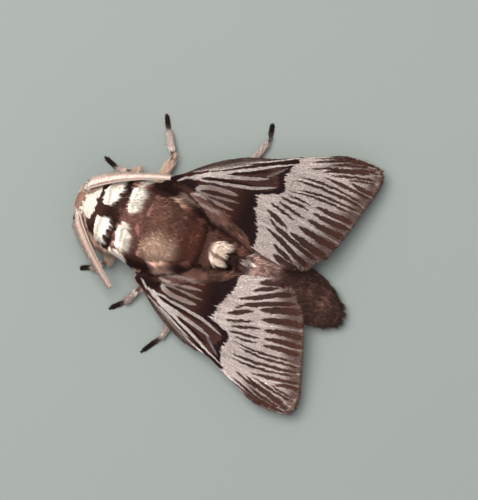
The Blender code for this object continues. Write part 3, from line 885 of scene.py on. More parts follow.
def tuft_piece(name, points, shades, maps):
    """One piece of many tufts, from their points, the points' colours and the tufts' map places."""
    faces = (TUFT_FACES + len(TUFT_POINTS) * np.arange(len(points))[:, None, None]).reshape(-1, 3)
    mesh = bpy.data.meshes.new(name)
    mesh.vertices.add(len(points) * len(TUFT_POINTS))
    mesh.vertices.foreach_set("co", points.ravel())
    mesh.loops.add(faces.size)
    mesh.loops.foreach_set("vertex_index", faces.ravel())
    mesh.polygons.add(len(faces))
    mesh.polygons.foreach_set("loop_start", np.arange(0, faces.size, 3))
    mesh.update(calc_edges=True)
    piece = placed(name, mesh)
    set_colours(piece, shades.reshape(-1, 3))
    flat = maps[:, None] + PATCH * (TUFT_MAP - 0.5)
    set_map(piece, flat.reshape(-1, 2)[faces.ravel()])
    return piece


def tuft_pieces(name, points, shades, maps):
    """The tufts as one piece, or as several that each stay below the limit."""
    count = math.ceil(len(points) / MOST_TUFTS)
    names = [name] if count == 1 else [f"{name}_{i + 1}" for i in range(count)]
    parts = np.array_split(np.arange(len(points)), count)
    return [tuft_piece(full, points[part], shades[part], maps[part]) for full, part in zip(names, parts)]


print(f"a piece holds up to {MOST_TUFTS * len(TUFT_FACES)} triangles")

# %% Lay the tufts
FLOOR_GAP = 0.01 * MM


def lay_tufts(
    name, roots, normals, lies, lengths, widths, rise, fall, colours, maps, seed, *,
    thickness=0.5, locks=0.7, pull=0.0, sink=0.08, shade=0.5, stray=0.1, vary=0.12, uneven=0.22,
):
    """Tufts as joined pieces. Lengths and widths are millimetres, rise and fall degrees."""
    rng = np.random.default_rng(seed)
    count = len(roots)
    lies = unit(lies - (lies * normals).sum(axis=1, keepdims=True) * normals)
    across = np.cross(lies, normals)
    reach = (lengths * MM * rng.uniform(1 - uneven, 1 + 0.8 * uneven, count))[:, None]
    widths = (widths * MM * rng.uniform(0.8, 1.2, count))[:, None]
    start, end = (np.sin(np.radians(np.broadcast_to(angle, count)))[:, None] for angle in (rise, fall))
    level = math.cos(math.radians(np.mean(rise) * 0.6))
    jitter = rng.normal(0, stray, (count, 1))
    bright = rng.uniform(1 - vary, 1 + vary, (count, 1))
    drawn = 0.0
    if np.any(pull):
        tips = roots + reach * (level * lies + end * normals + jitter * across)
        drawn = pull * lock_pull(roots, tips, locks, seed)
    points = np.empty((count, len(TUFT_POINTS), 3))
    shades = np.empty_like(points)
    for k, (x, y, z) in enumerate(TUFT_POINTS):
        bend = start * z + (end - start) * z * z
        spot = roots + reach * (level * z * lies + bend * normals + jitter * z * across) + drawn * z * z
        spot = spot - normals * (sink * MM * (1 - z))
        points[:, k] = spot + widths * (x * across + y * thickness * normals)
        points[:, k, 2] = np.maximum(points[:, k, 2], FLOOR_GAP * (2 + x + y))
        shades[:, k] = colours * bright * (shade + (1 - shade) * z**0.6)
    return tuft_pieces(name, points, shades, maps)


print(f"no tuft reaches lower than {FLOOR_GAP / MM:.2f} mm above the floor")

# %% [markdown]
# ## The body's skin
# The flesh is one animal, so it gets one skin. The solids of head, collar, thorax, shoulders,
# abdomen, crests and palps are copied and swollen a little so that their thin cuts close. A voxel
# remesh then fuses them, and the result sinks inwards by the depth of the coat that will cover it.

# %% Fuse the skin
FLESH = (
    "head", "collar", "thorax", "tegula_left", "tegula_right", "abdomen_front", "abdomen_middle",
    "abdomen_tail", "crest_pale", "crest_dark", "palp_left", "palp_right",
)
SWELL = 0.24 * MM
VOXEL = 0.26 * MM
copies = {node: merged_copy(node, "body_skin") for node in FLESH}
for copy in copies.values():
    apply_modifier(copy, "DISPLACE", strength=SWELL, mid_level=0.0)
skin = joined([copies.pop("thorax"), *copies.values()], "body_skin")
apply_modifier(skin, "REMESH", mode="VOXEL", voxel_size=VOXEL)
apply_modifier(skin, "SMOOTH", factor=0.5, iterations=8)
print(f"fused skin: {len(skin.data.vertices)} points")

# %% Sink it under the coat
# Depths along the body: places behind the nape, and how deep the coat is there, in millimetres.
DEPTHS = (
    (-5.2, -3.8, -2.0, 2.0, 12.0, 14.0, 26.0, 30.0, 34.0),
    (0.2, 0.3, 0.4, 0.45, 0.5, 0.45, 0.45, 0.8, 1.3),
)
FACE_MIDDLE = 0.4


def coat_depth(points):
    """How deep the coat is, in millimetres: thin on the face, deep on the thorax and the tail."""
    u = plan(points)[:, 1]
    fullness = np.maximum(0.55 + 0.45 * smooth(points[:, 2] / MM, 1.0, 3.5), smooth(u, 29.0, 33.0))
    return np.interp(u, *DEPTHS) * fullness


skin_points = points_of(skin)
skin_points -= normals_of(skin) * (SWELL + coat_depth(skin_points) * MM)[:, None]
v, u = plan(skin_points).T
from_middle = v - FACE_MIDDLE
narrow = smooth(-u, 3.7, 4.5) * smooth(np.abs(from_middle), 1.0, 2.1)
skin_points[:, 0] += 0.22 * from_middle * narrow * MM
skin_points[:, 2] += 0.2 * tuft_mask(plan(skin_points), 0.9) * smooth(skin_points[:, 2] / MM, 4.0, 5.5) * MM
move_points(skin, skin_points)
apply_modifier(skin, "SMOOTH", factor=0.5, iterations=2)
print(f"the skin lies up to {coat_depth(skin_points).max():.1f} mm deep")

# %% Map it and colour it
BODY_AXIS_Z = 3.8 * MM
BODY_MARGIN = 0.03
# Skin and membranes are painted darker by this factor: painted shade where they show between the tufts.
UNDER_COAT_SHADE = 0.6
body_low, body_high = points_of(skin).min(axis=0), points_of(skin).max(axis=0)


def inset(share, margin=0.02):
    """A share of the map's width or height, kept clear of both its ends."""
    return margin + (1 - 2 * margin) * share


def body_map(points):
    """Where points of the body lie on its map: round it from the belly, and along it."""
    turn = np.arctan2(points[:, 0] - MIDLINE, points[:, 2] - BODY_AXIS_Z) / (2 * math.pi) + 0.5
    length = (points[:, 1] - body_low[1]) / (body_high[1] - body_low[1])
    return np.column_stack([inset(turn, BODY_MARGIN), inset(length)])


# A face that crosses the seam keeps its corners together, a whole turn past the map's end.
vertex, face = corners_of(skin)
flat = body_map(points_of(skin))[vertex]
whole_turn = inset(1, BODY_MARGIN) - inset(0, BODY_MARGIN)
first_corner = np.searchsorted(face, face)
flat[:, 0] -= whole_turn * np.round((flat[:, 0] - flat[first_corner, 0]) / whole_turn)
set_map(skin, flat)
# The skin carries the body's markings, darkened as painted shade under the fur.
set_colours(skin, UNDER_COAT_SHADE * body_colour(points_of(skin)))
finish_piece(skin, skin_finish, "brown_coat", *FLESH)
print(f"skin is {(body_high[1] - body_low[1]) / MM:.1f} mm long")

# %% [markdown]
# ## The body's coat
# Hair grows away from the face and then runs to the tail, falling outwards down the sides. It is
# short on the face, stands up in the cream tufts and lies in long locks on thorax and abdomen.

# %% The way the hair runs
EYES = {name: sum(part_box(f"eye_{name}"), Vector()) / 2 for name in SIDES}
EYE_CLEARANCE = 1.25 * MM
FACE_POLE = np.array(from_plan(1.0, 0.0, -5.6, 2.6))


def eye_distance(points):
    """Distance in metres to the middle of the nearer eye."""
    return np.min([np.linalg.norm(points - np.array(eye), axis=1) for eye in EYES.values()], axis=0)


def rows(count, *columns):
    """Rows of numbers from columns, each an array or one number for all rows."""
    return np.column_stack([np.broadcast_to(column, count) for column in columns])


def body_lie(roots):
    """The way the hair runs: away from the face, then back and down."""
    places = plan(roots)
    back = unit(rows(len(roots), 0.10 * (roots[:, 0] - MIDLINE) / MM, 1.0, -0.15))
    share = smooth(places[:, 1], -4.6, -2.2)[:, None]
    lies = unit(roots - FACE_POLE) * (1 - share) + back * share
    lies[:, 0] += 0.25 * grain(places, 1.3, 21)
    return lies


print(f"hair parts {-plan(FACE_POLE[None])[0, 1]:.1f} mm ahead of the nape")

# %% Grow the coat
# Hair along the body: places behind the nape, and how long it is there, in millimetres.
LENGTHS = (
    (-5.3, -4.2, -3.2, -1.0, 4.0, 12.0, 15.0, 25.0, 33.0),
    (0.45, 0.6, 0.95, 1.2, 1.5, 1.9, 1.6, 1.5, 1.9),
)
# The place behind the nape where the thorax ends and the abdomen's hair begins.
THORAX_END = 13.6


def body_coat(name, count, seed, weight):
    """Fur over a part of the body."""
    roots, normals = scatter(skin, count, seed, weight)
    keep = eye_distance(roots) > EYE_CLEARANCE
    roots, normals = roots[keep], normals[keep]
    places = plan(roots)
    u, height = places[:, 1], roots[:, 2] / MM
    cream, tail = tuft_mask(places, 0.5), smooth(u, 30.0, 34.5)
    length = np.interp(u, *LENGTHS) * (0.7 + 0.3 * smooth(height, 1.0, 4.0)) + 0.2 * tail
    rise = 22.0 + 12.0 * cream + 6.0 * grain(places, 0.9, seed) + 20.0 * tail
    fall = 9.0 + 5.0 * cream + 14.0 * tail
    lies = body_lie(roots)
    colours = body_colour(roots + 0.6 * length[:, None] * MM * unit(lies))
    normals = unit(normals + cream[:, None] * (0.0, 0.3, 1.6))
    pull = np.where(u > 13.0, 0.25, 0.13 - 0.08 * cream)[:, None]
    return lay_tufts(
        name, roots, normals, lies, length, np.where(u < -3.6, 0.08, 0.11), rise, fall, colours,
        body_map(roots), seed, locks=0.8, pull=pull, stray=0.07, shade=(0.8 + 0.2 * cream)[:, None],
    )


def front_weight(points, normals):
    """Head, collar and thorax, thicker on top."""
    u = plan(points)[:, 1]
    return (u < THORAX_END) * (0.35 + 0.65 * smooth(normals[:, 2], -0.3, 0.4)) * np.where(u < 4.5, 1.7, 1.0)


def rear_weight(points, normals):
    """The abdomen, thicker on top."""
    return (plan(points)[:, 1] >= THORAX_END) * (0.4 + 0.6 * smooth(normals[:, 2], -0.3, 0.4))


body_fur = body_coat("thorax_fur", 56000, 31, front_weight)
body_fur += body_coat("abdomen_fur", 26000, 32, rear_weight)
finish_all(body_fur, fur_finish, "brown_coat", "body fur")

# %% [markdown]
# ## The wings
# A wing is a thin membrane stiffened by veins. The upper face of each wing solid is separated,
# divided finely, smoothed, sunk to the middle of the solid and drawn in from its edge, where a
# fringe of scales will reach out again. Solidify then gives it its real thickness.

# %% The pattern's place on each wing
WING_ROOT = np.array((6.1, 8.2))
LEFT_TURN = math.radians(-1.2)
LEFT_LENGTH = 0.978


def turned(places, angle):
    """Plan places or directions turned about the plan's start."""
    c, s = math.cos(angle), math.sin(angle)
    return places @ np.array(((c, s), (-s, c)))


def wing_plan(points, side_name):
    """Places on the pattern of a right wing. The left wing mirrors it, turned in and a little shorter."""
    places = plan(points)
    if side_name == "left":
        places = turned(places * (-1, 1) - WING_ROOT, LEFT_TURN) / LEFT_LENGTH + WING_ROOT
    return places


print(f"the left wing is turned in by {math.degrees(-LEFT_TURN):.1f} degrees")

# %% A wing's border


def outline_of(piece):
    """The border of an open sheet: the plan places where its edges start, and where they end."""
    sides = {}
    for face in piece.data.polygons:
        for key in face.edge_keys:
            sides[key] = sides.get(key, 0) + 1
    border = np.array([key for key, count in sides.items() if count == 1])
    places = plan(points_of(piece))
    return places[border[:, 0]], places[border[:, 1]]


def margin_of(places, border):
    """Distance of plan places to the border, and the nearest place on it."""
    best = np.full(len(places), 1e9)
    nearest = np.zeros((len(places), 2))
    for start, end in zip(*border):
        t = np.clip((places - start) @ (end - start) / max(1e-12, (end - start) @ (end - start)), 0, 1)
        spot = start + t[:, None] * (end - start)
        here = np.hypot(*(places - spot).T)
        nearer = here < best
        best[nearer] = here[nearer]
        nearest[nearer] = spot[nearer]
    return best, nearest


straight = np.array([[0.0, 0.0]]), np.array([[0.0, 9.0]])
print("distances from a straight border 2 mm away:", margin_of(plan_rows + (2, 0), straight)[0])

# %% Separate a wing's upper face
WING_CUTS = {"forewing": 5, "hindwing": 3}


def wing_sheet(kind, side_name):
    """The upper face of a wing as a fine open sheet, and its border."""
    sheet = merged_copy(f"{kind}_{side_name}", f"{kind}_{side_name}_membrane")
    edit_only(sheet.data.polygons, [face.normal.z < 0.4 for face in sheet.data.polygons])
    bpy.ops.mesh.select_mode(type="FACE")
    bpy.ops.mesh.delete(type="FACE")
    bpy.ops.object.mode_set(mode="OBJECT")
    border = outline_of(sheet)
    bpy.ops.object.mode_set(mode="EDIT")
    bpy.ops.mesh.select_all(action="SELECT")
    bpy.ops.mesh.subdivide(number_cuts=WING_CUTS[kind])
    bpy.ops.mesh.vertices_smooth(factor=0.5, repeat=40, xaxis=False, yaxis=False, zaxis=True)
    bpy.ops.object.mode_set(mode="OBJECT")
    return sheet, border


print("cuts in each edge of a wing's sheet:", WING_CUTS)

# %% Even a wing's heights
HEIGHT_CELL = 0.5


def blurred(table):
    """A table with each number mixed with its neighbours', four times over."""
    for _ in range(4):
        for axis in (0, 1):
            table = (np.roll(table, 1, axis) + 2 * table + np.roll(table, -1, axis)) / 4
    return table


def even_heights(points):
    """Heights freed of the solid's facets: a broad curved surface, and the rest of it blurred."""
    places = plan(points)
    low, size = places.min(axis=0), np.ptp(places, axis=0)
    x, y = ((places - low) / size * 2 - 1).T
    terms = np.column_stack([x**i * y**j for i in range(5) for j in range(5 - i)])
    broad = terms @ np.linalg.lstsq(terms, points[:, 2], rcond=None)[0]
    # The table of cells has eight empty ones on each side, so that the blur stays clear of its ends.
    cells = (places - low) / HEIGHT_CELL + 8
    sums, counts = np.zeros((2, *cells.max(axis=0).astype(int) + 9))
    near = tuple(cells.astype(int).T)
    np.add.at(sums, near, points[:, 2] - broad)
    np.add.at(counts, near, 1)
    rest = blurred(sums / np.maximum(counts, 1)) / np.maximum(blurred((counts > 0) * 1.0), 1e-3)
    return broad + look_up(rest, cells - 0.5)


print(f"heights are averaged over cells of {HEIGHT_CELL} mm and blurred")

# %% Draw in a wing's edge
FRINGE = {"forewing": 0.5, "hindwing": 0.4}
SLIMMER = {"left": 0.75, "right": 0.3}
WIDER_TIP = {"left": 0.8, "right": 0.6}
# How far in from the border the drawing in is felt, in millimetres.
DRAWN_REACH = 2.0
# The inner edge of the forewing on the pattern, and how far the membrane runs on under the thorax.
WING_INNER = ((8.0, 10.0, 13.0, 20.5, 26.8), (6.0, 5.9, 4.6, 1.6, 0.45))
ROOT_TONGUE = 0.9


def draw_in(points, kind, side_name, border):
    """Moves a wing's edge in, by as much as the fringe will reach out again."""
    places = plan(points)
    margin, nearest = margin_of(places, border)
    inward = (places - nearest) / np.maximum(margin, 1e-6)[:, None]
    on_edge = margin < 0.02
    inward[on_edge] = unit(places.mean(axis=0) - places[on_edge])
    v, u = wing_plan(points, side_name).T
    shift = np.interp(nearest[:, 1], (22.0, 26.0), (0.08, FRINGE[kind]))
    shift += SLIMMER[side_name] * smooth(v, 11.0, 13.0) * smooth(u, 15.0, 20.0) * (1 - smooth(u, 21.0, 27.5))
    if kind == "forewing":
        shift += 0.6 * smooth(u, 25.5, 27.5) * smooth(-v, -4.5, -2.5)
        shift -= WIDER_TIP[side_name] * smooth(v, 14.0, 18.0) * smooth(u, 25.0, 28.0) * inward[:, 0] ** 2
    shift *= np.clip(1 - margin / DRAWN_REACH, 0, 1)
    points[:, :2] += shift[:, None] * inward * (-MM, MM)


def add_tongue(points, pattern, side_name):
    """Runs a forewing's inner edge on under the thorax, where the wing is hinged."""
    v, u = pattern.T
    tongue = np.clip(1 - (v - np.interp(u, *WING_INNER)) / 1.6, 0, 1) * (1 - smooth(u, 12.0, 16.0))
    points += ROOT_TONGUE * tongue[:, None] * (-SIDES[side_name] * MM, 0, -0.5 * MM)


print("the fringe reaches out by", FRINGE)

# %% Shape a wing's membrane
HALF_SOLID = 0.25 * MM
MEMBRANE = 0.12 * MM
RIB = 0.05


def rib_height(pattern):
    """The wing's relief from 0 to 1: a rounded rib over each vein."""
    ribs = np.zeros(len(pattern))
    for route in VEINS:
        distance, share, _ = along_route(pattern, route)
        ends = smooth(share, 0.0, 0.25) * smooth(-share, -1.0, -0.8)
        ribs = np.maximum(ribs, np.exp(-((distance / 0.35) ** 2)) * ends)
    return ribs


def make_membrane(kind, side_name):
    """A wing's membrane with its relief: (piece, border)."""
    sheet, border = wing_sheet(kind, side_name)
    points = points_of(sheet)
    draw_in(points, kind, side_name, border)
    pattern = wing_plan(points, side_name)
    if kind == "forewing":
        add_tongue(points, pattern, side_name)
    relief = RIB * (rib_height(pattern) + grain(pattern, 2.5, 41)) * MM
    points[:, 2] = even_heights(points) + relief - HALF_SOLID
    move_points(sheet, points)
    apply_modifier(sheet, "SOLIDIFY", thickness=MEMBRANE, offset=0.0)
    return sheet, border


membranes = {(kind, side_name): make_membrane(kind, side_name) for side_name in SIDES for kind in WING_CUTS}
for membrane, _ in membranes.values():
    print(f"{membrane.name}: {len(membrane.data.polygons)} faces")

# %% Colour and map the membranes
# Painted light and shade: the same pattern is painted lighter on the left wings and darker on the right
# wings.
SIDE_LIGHT_AND_SHADE = {"left": 1.04, "right": 0.86}


def wing_map(points, upper, side_name):
    """A wing's map: the upper side on one half of it, the under side on the other."""
    boxes = np.array([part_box(f"{kind}_{side_name}") for kind in WING_CUTS])[:, :, :2]
    low, high = boxes[:, 0].min(axis=0), boxes[:, 1].max(axis=0)
    x, y = ((points[:, :2] - low) / (high - low)).T
    return np.column_stack([inset(x) / 2 + np.where(upper, 0, 0.5), inset(y)])


def wing_colour(kind, pattern, margin, upper):
    """Colours of a wing where upper is true, and of its plain under side elsewhere."""
    top = forewing_colour(pattern, margin) if kind == "forewing" else hindwing_colour(pattern)
    return np.where(np.reshape(upper, (-1, 1)), top, underside_colour(pattern))


for (kind, side_name), (membrane, border) in membranes.items():
    points = points_of(membrane)
    margin = np.maximum(margin_of(plan(points), border)[0] - 0.4, 0)
    colours = wing_colour(kind, wing_plan(points, side_name), margin, normals_of(membrane)[:, 2] > 0)
    # Painted shade under the scales, and painted light and shade by side.
    set_colours(membrane, UNDER_COAT_SHADE * SIDE_LIGHT_AND_SHADE[side_name] * colours)
    vertex, face = corners_of(membrane)
    face_upper = read(membrane.data.polygons, "normal", 3)[face, 2] > 0
    set_map(membrane, wing_map(points[vertex], face_upper, side_name))
    finish_piece(membrane, scale_finish, kind, f"{kind}_{side_name}")
print(f"{len(membranes)} membranes are coloured and mapped")

# %% [markdown]
# ## The wings' scales
# Scales overlap like roof tiles and point to the wing's edge along the veins. Near the body and on
# the inner margin they are long and hair-like. At the edge they reach past the membrane as a fringe.

# %% The way the scales point
LIE_ROUTES = VEINS + tuple(line[2:] for line in FIELD_LINES[6:])


def on_floor(ways):
    """Plan directions as directions in space."""
    return rows(len(ways), -ways[:, 0], ways[:, 1], 0.0)


def vein_lie(pattern, side_name):
    """The way scales point: along the nearest veins, as directions in space."""
    ways = np.zeros((len(pattern), 2))
    for route in LIE_ROUTES:
        distance, _, heading = along_route(pattern, route)
        ways += heading / (distance[:, None] + 0.25) ** 3
    ways = unit(ways)
    return on_floor(turned(ways, -LEFT_TURN) * (-1, 1) if side_name == "left" else ways)


print(f"scales follow {len(LIE_ROUTES)} lines")

# %% Lay the scales
SCALE_WIDTH = 0.15
SCALE_ANGLES = (4.5, 2.5)


def wing_scales(kind, side_name, count, seed, on_top):
    """Scales over one face of a wing."""
    membrane, border = membranes[kind, side_name]

    def facing(points, normals):
        """The upper or the under face, without the rim."""
        return normals[:, 2] * (1 if on_top else -1) > 0.75

    roots, normals = scatter(membrane, count, seed, facing)
    pattern = wing_plan(roots, side_name)
    margin, nearest = margin_of(plan(roots), border)
    lies = vein_lie(pattern, side_name)
    outward = unit(on_floor(nearest - plan(roots)))
    hind_edge = smooth(pattern[:, 1], 24.0, 28.0) if kind == "forewing" else np.ones(count)
    ahead = np.clip((lies * outward).sum(axis=1), 0, 1)
    fringe = (1 - smooth(margin, 0.5, 1.3)) * hind_edge * ahead
    lies = lies + 0.9 * fringe[:, None] * outward
    length = 0.72 + 0.35 * (1 - smooth(pattern[:, 1], 12.0, 20.0)) + 0.1 * fringe
    length += 0.3 * (kind == "hindwing")
    room = np.where(margin < 1.2, np.maximum(margin + 0.02, 0.3), 9.0) + 0.3 + 0.4 * (1 - ahead)
    length = np.minimum(length, np.where(hind_edge < 0.5, 0.9, room))
    seen = roots + 0.3 * length[:, None] * MM * unit(lies)
    colours = wing_colour(kind, wing_plan(seen, side_name), margin_of(plan(seen), border)[0], on_top)
    # Painted light and shade by side, as on the membranes.
    colours = np.minimum(colours * SIDE_LIGHT_AND_SHADE[side_name], 1)
    name = f"{kind}_{side_name}_{'scales' if on_top else 'under_scales'}"
    return lay_tufts(
        name, roots, normals, lies, length, SCALE_WIDTH, *SCALE_ANGLES, colours,
        wing_map(roots, on_top, side_name), seed,
        thickness=0.07, sink=0.015, shade=0.92, stray=0.03, vary=0.04, uneven=0.12,
    )


# For each face of a wing: how many scales, their seed, and whether it is the upper one.
SCALES = (
    ("forewing", 38000, 61, True), ("forewing", 7000, 63, False),
    ("hindwing", 7500, 65, True), ("hindwing", 4500, 67, False),
)
for number, side_name in enumerate(SIDES):
    for kind, count, seed, on_top in SCALES:
        scales = wing_scales(kind, side_name, count, seed + number, on_top)
        finish_all(scales, scale_finish, kind, scales[0].name)

# %% [markdown]
# ## Long hair over the wing bases
# Nothing shows between a resting moth's body and wings: long hair grows back and inwards from the
# inner part of each forewing and back and outwards from the rear of the thorax, and closes the gap.
# The same soft hair covers shoulders, flanks and waist and stands over each eye.

# %% The long hair's colour
SHOULDER_LOW = paint("552F25")
HAIR_DARK = paint("46302A")
HAIR_BROWN = paint("7E5A4D")
HAIR_BLACK = paint("2E1B18")
HAIR_STRAND = paint("6B4C42")


def long_hair(*laid):
    """Long soft hair that bridges body and wing. What it is given are lay_tufts' own values."""
    return lay_tufts(*laid, locks=0.7, pull=0.3, sink=0.03, shade=0.75, stray=0.12)


def base_hair_colour(places, seed):
    """Colours of the long hair: brown by the thorax, black between the wings, pinkish behind."""
    v, u = np.abs(places[:, 0]), places[:, 1]
    brown = painted(HAIR_DARK, places, (HAIR_BROWN, smooth(u, 14.6, 16.4)))
    black = smooth(u - 1.6 * (1 - smooth(v, 3.4, 4.6)), 14.0, 17.4) * smooth(v, 2.6, 4.2)
    strands = 0.3 * (1 + grain(places * (1.0, 0.3), 0.5, seed)) * smooth(u, 9.4, 10.6)
    colours = painted(
        NEAR_BLACK, places,
        (brown, smooth(u, 9.4, 10.6)),
        (HAIR_BLACK, black),
        (HAIR_STRAND, strands * (1 - smooth(u, 14.0, 17.0) * smooth(v, 3.4, 4.6))),
    )
    for tone, width, *route in FIELD_LINES[:2]:
        colours = over(colours, WING_PALE * 0.7, 0.7 * tone * streak(places, route, width, 0.2))
    edge = np.maximum(np.interp(v, *np.array(FIELD_EDGE).T), np.interp(v, (1.8, 2.8), (20.4, 19.0)))
    edge = edge + 0.25 * grain(places * (1.0, 0.25), 0.3, seed + 1)
    behind = painted(BASE_HAIR, places, (WING_GROUND, smooth(v, 1.4, 2.6)))
    return over(colours, behind, smooth(u - edge, 0.0, 0.3))


print("long hair follows the wings' own pattern")

# %% Hair along the wings' inner edges


def wing_base_hair(side_name, scatter_seed, lay_seed):
    """Hair that grows from a forewing's inner edge over the gap between wing and body."""

    def inner_part(points, normals):
        """The part of the forewing's upper side along its inner edge."""
        v, u = wing_plan(points, side_name).T
        wide = np.interp(u, (10.0, 14.0, 18.0, 20.0), (0.9, 1.8, 1.6, 0.5))
        near = 1 - smooth(v - np.interp(u, *WING_INNER), 0.3 * wide, wide)
        return near * (normals[:, 2] > 0.3) * (u < 25.5)

    roots, normals = scatter(membranes["forewing", side_name][0], 3600, scatter_seed, inner_part)
    pattern = wing_plan(roots, side_name)
    lies = vein_lie(pattern, side_name)
    lies[:, 0] -= SIDES[side_name] * np.interp(pattern[:, 1], (8.0, 14.0, 22.0), (0.30, 0.45, 0.25))
    length = np.interp(pattern[:, 1], (8.0, 12.0, 20.0, 25.0), (1.6, 2.2, 2.0, 1.3))
    colours = base_hair_colour(wing_plan(roots + 0.5 * length[:, None] * MM * unit(lies), side_name), 111)
    return long_hair(
        f"wing_base_hair_{side_name}", roots, normals, lies, length, 0.11, 14.0, 3.0, colours,
        wing_map(roots, True, side_name), lay_seed,
    )


for number, side_name in enumerate(SIDES):
    base_hair = wing_base_hair(side_name, 101 + number, 121 + number)
    finish_all(base_hair, fur_finish, "brown_coat", f"{side_name} wing's base hair")

# %% A patch of long hair
BODY_TOP = 6.5 * MM


def patch_hair(name, part, count, seeds, lie, length, width, angles, colour):
    """Long hair over one part of the skin. It lies (outwards, back, up) and rises and falls by angles."""
    roots, normals = scatter(skin, count, seeds[0], part)
    lies = unit(rows(count, -lie[0] * np.sign(plan(roots)[:, 0]), *lie[1:]))
    lengths = length(roots) if callable(length) else length
    colours = colour(roots, lies, lengths)
    hair = long_hair(name, roots, normals, lies, lengths, width, *angles, colours, body_map(roots), seeds[1])
    finish_all(hair, fur_finish, "brown_coat", name)


def seen_from_above(roots, lies, reach):
    """Places where hair shows, reach metres from its roots, as if on the body's top."""
    seen = roots + reach * lies
    seen[:, 2] = BODY_TOP
    return seen


print("patches of long hair: mantle, shoulders, flanks, waist and brow")

# %% Mantle and shoulders


def mantle_part(points, normals):
    """The sides and the rear of the thorax."""
    v, u = plan(points).T
    return (u > 7.5) & (u < 13.4) & (np.abs(v) > 2.2 + 0.35 * (12.5 - u)) & (normals[:, 2] > -0.1)


def mantle_colour(roots, lies, length):
    """The body's colours with painted shade, darker to the rear where the thorax meets the wings."""
    seen = seen_from_above(roots, lies, 1.2 * MM)
    # Painted shade: near-black laid over the rear of the mantle hair.
    return over(body_colour(seen), NEAR_BLACK, 0.45 * smooth(plan(seen)[:, 1], 9.8, 11.0))


def shoulder_part(points, normals):
    """The shoulders, over the roots of the wings."""
    v, u = plan(points).T
    return (u > 1.4) & (u < 9.8) & (np.abs(v) > 4.3) & (points[:, 2] > 3.2 * MM)


def shoulder_length(roots):
    """Shorter hair next to the collar."""
    return np.interp(plan(roots)[:, 1], (1.6, 4.0, 9.6), (1.3, 2.4, 2.2))


def shoulder_colour(roots, lies, length):
    """The body's colours, reddish brown low on the shoulder."""
    seen = seen_from_above(roots, lies, 0.5 * length[:, None] * MM)
    return over(body_colour(seen), SHOULDER_LOW, 0.85 * smooth(-roots[:, 2] / MM, -5.6, -4.0))


patch_hair("mantle_hair", mantle_part, 5200, (103, 123), (0.8, 1, 0.1), 2.5, 0.12, (32, 16), mantle_colour)
patch_hair(
    "shoulder_hair", shoulder_part, 7000, (104, 124), (0.9, 1, 0.25), shoulder_length, 0.12, (42, 26),
    shoulder_colour,
)

# %% Flanks


def flank_part(points, normals):
    """The sides of the body beside the head and over the front legs."""
    v, u = plan(points).T
    height = points[:, 2] / MM
    return (u > -2.6) & (u < 3.6) & (np.abs(v) > 3.0) & (height > 1.6) & (height < 6.2)


def flank_length(roots):
    """Longest beside the head, and shorter low down."""
    u, height = plan(roots)[:, 1], roots[:, 2] / MM
    return 2.0 * (0.35 + 0.65 * smooth(-u, -3.6, -1.0)) * (0.5 + 0.5 * smooth(height, 1.6, 3.4))


def flank_colour(roots, lies, length):
    """Pale hair among brown, and brown hair only towards the wings."""
    places = plan(roots)
    strands = 0.35 + 0.35 * grain(places, 0.7, 106)
    rear = 0.9 * smooth(places[:, 1] + 0.8 * grain(places, 0.6, 107), 1.8, 3.4)
    return painted(paint("CDAA95"), places, (BELLY, strands), (BELLY, rear))


patch_hair(
    "flank_hair", flank_part, 3600, (105, 125), (1.2, 0.25, -0.25), flank_length, 0.12, (46, 30),
    flank_colour,
)

# %% Waist and brow


def waist_part(points, normals):
    """The abdomen's back between the wings' inner edges."""
    v, u = plan(points).T
    return (u > 18.4) & (u < 24.4) & (np.abs(v) > 0.45) & (np.abs(v) < 2.6) & (normals[:, 2] > 0.3)


def waist_colour(roots, lies, length):
    """Brown in front, then pinkish like the hair of the wings beside it."""
    seen = plan(roots + 1.1 * MM * lies)
    v, u = np.abs(seen[:, 0]), seen[:, 1]
    beside = smooth(v - 0.4 * smooth(u, 21.0, 24.0), 1.0, 2.2)
    front = 1 - smooth(u + 0.4 * grain(seen, 0.5, 110), 19.9, 21.2)
    return painted(BASE_HAIR, seen, (WING_GROUND * 0.85, beside), (WAIST, front))


def brow_part(points, normals):
    """The ring of the head round the upper half of each eye."""
    near = eye_distance(points) / MM
    return (near > 1.15) & (near < 2.3) & (points[:, 2] > EYES["left"].z + 0.5 * MM)


def brow_colour(roots, lies, length):
    """One pale brown."""
    return painted(paint("C4A495"), roots)


patch_hair("waist_hair", waist_part, 2200, (109, 129), (0.5, 1, 0.1), 1.7, 0.11, (30, 16), waist_colour)
patch_hair("brow_hair", brow_part, 1500, (107, 126), (1, 0.35, -0.1), 1.5, 0.1, (34, 6), brow_colour)

# %% Tufts at the feelers' bases
SCAPE_BASE = {"left": (1.6, -3.95, 6.5), "right": (2.0, -4.0, 6.5)}
SCAPE_HAIRS = 420
# Each pale tuft leans out over the eye below it.
rng = np.random.default_rng(108)
for number, (side_name, side) in enumerate(SIDES.items()):
    spread = rng.uniform(-1, 1, (SCAPE_HAIRS, 3)) * (0.5, 0.4, 0.15)
    roots = np.array(from_plan(side, *SCAPE_BASE[side_name])) + spread * MM
    normals = unit(rows(SCAPE_HAIRS, 0.3 * side + 0.5 * spread[:, 0], spread[:, 1], 1.0))
    lies = rows(SCAPE_HAIRS, side, rng.uniform(-0.15, 0.45, SCAPE_HAIRS), -0.1)
    colours = painted(paint("F0DCD2"), roots, (FACE, rng.uniform(0.0, 0.5, SCAPE_HAIRS)))
    scape_hair = long_hair(
        f"scape_hair_{side_name}", roots, normals, lies, 0.95, 0.09, 14.0, -14.0, colours, body_map(roots),
        127 + number,
    )
    finish_all(scape_hair, fur_finish, "brown_coat", f"{side_name} feeler's base")

# %% [markdown]
# ## Legs
# Each leg has a thigh, a shin and a foot of five short joints that ends in two claws. The axis of
# each solid gives the places of the joints. A curve with a round bevel, thick and thin where the
# joints are, becomes the shell, and hair grows along it.

# %% Limbs as tubes


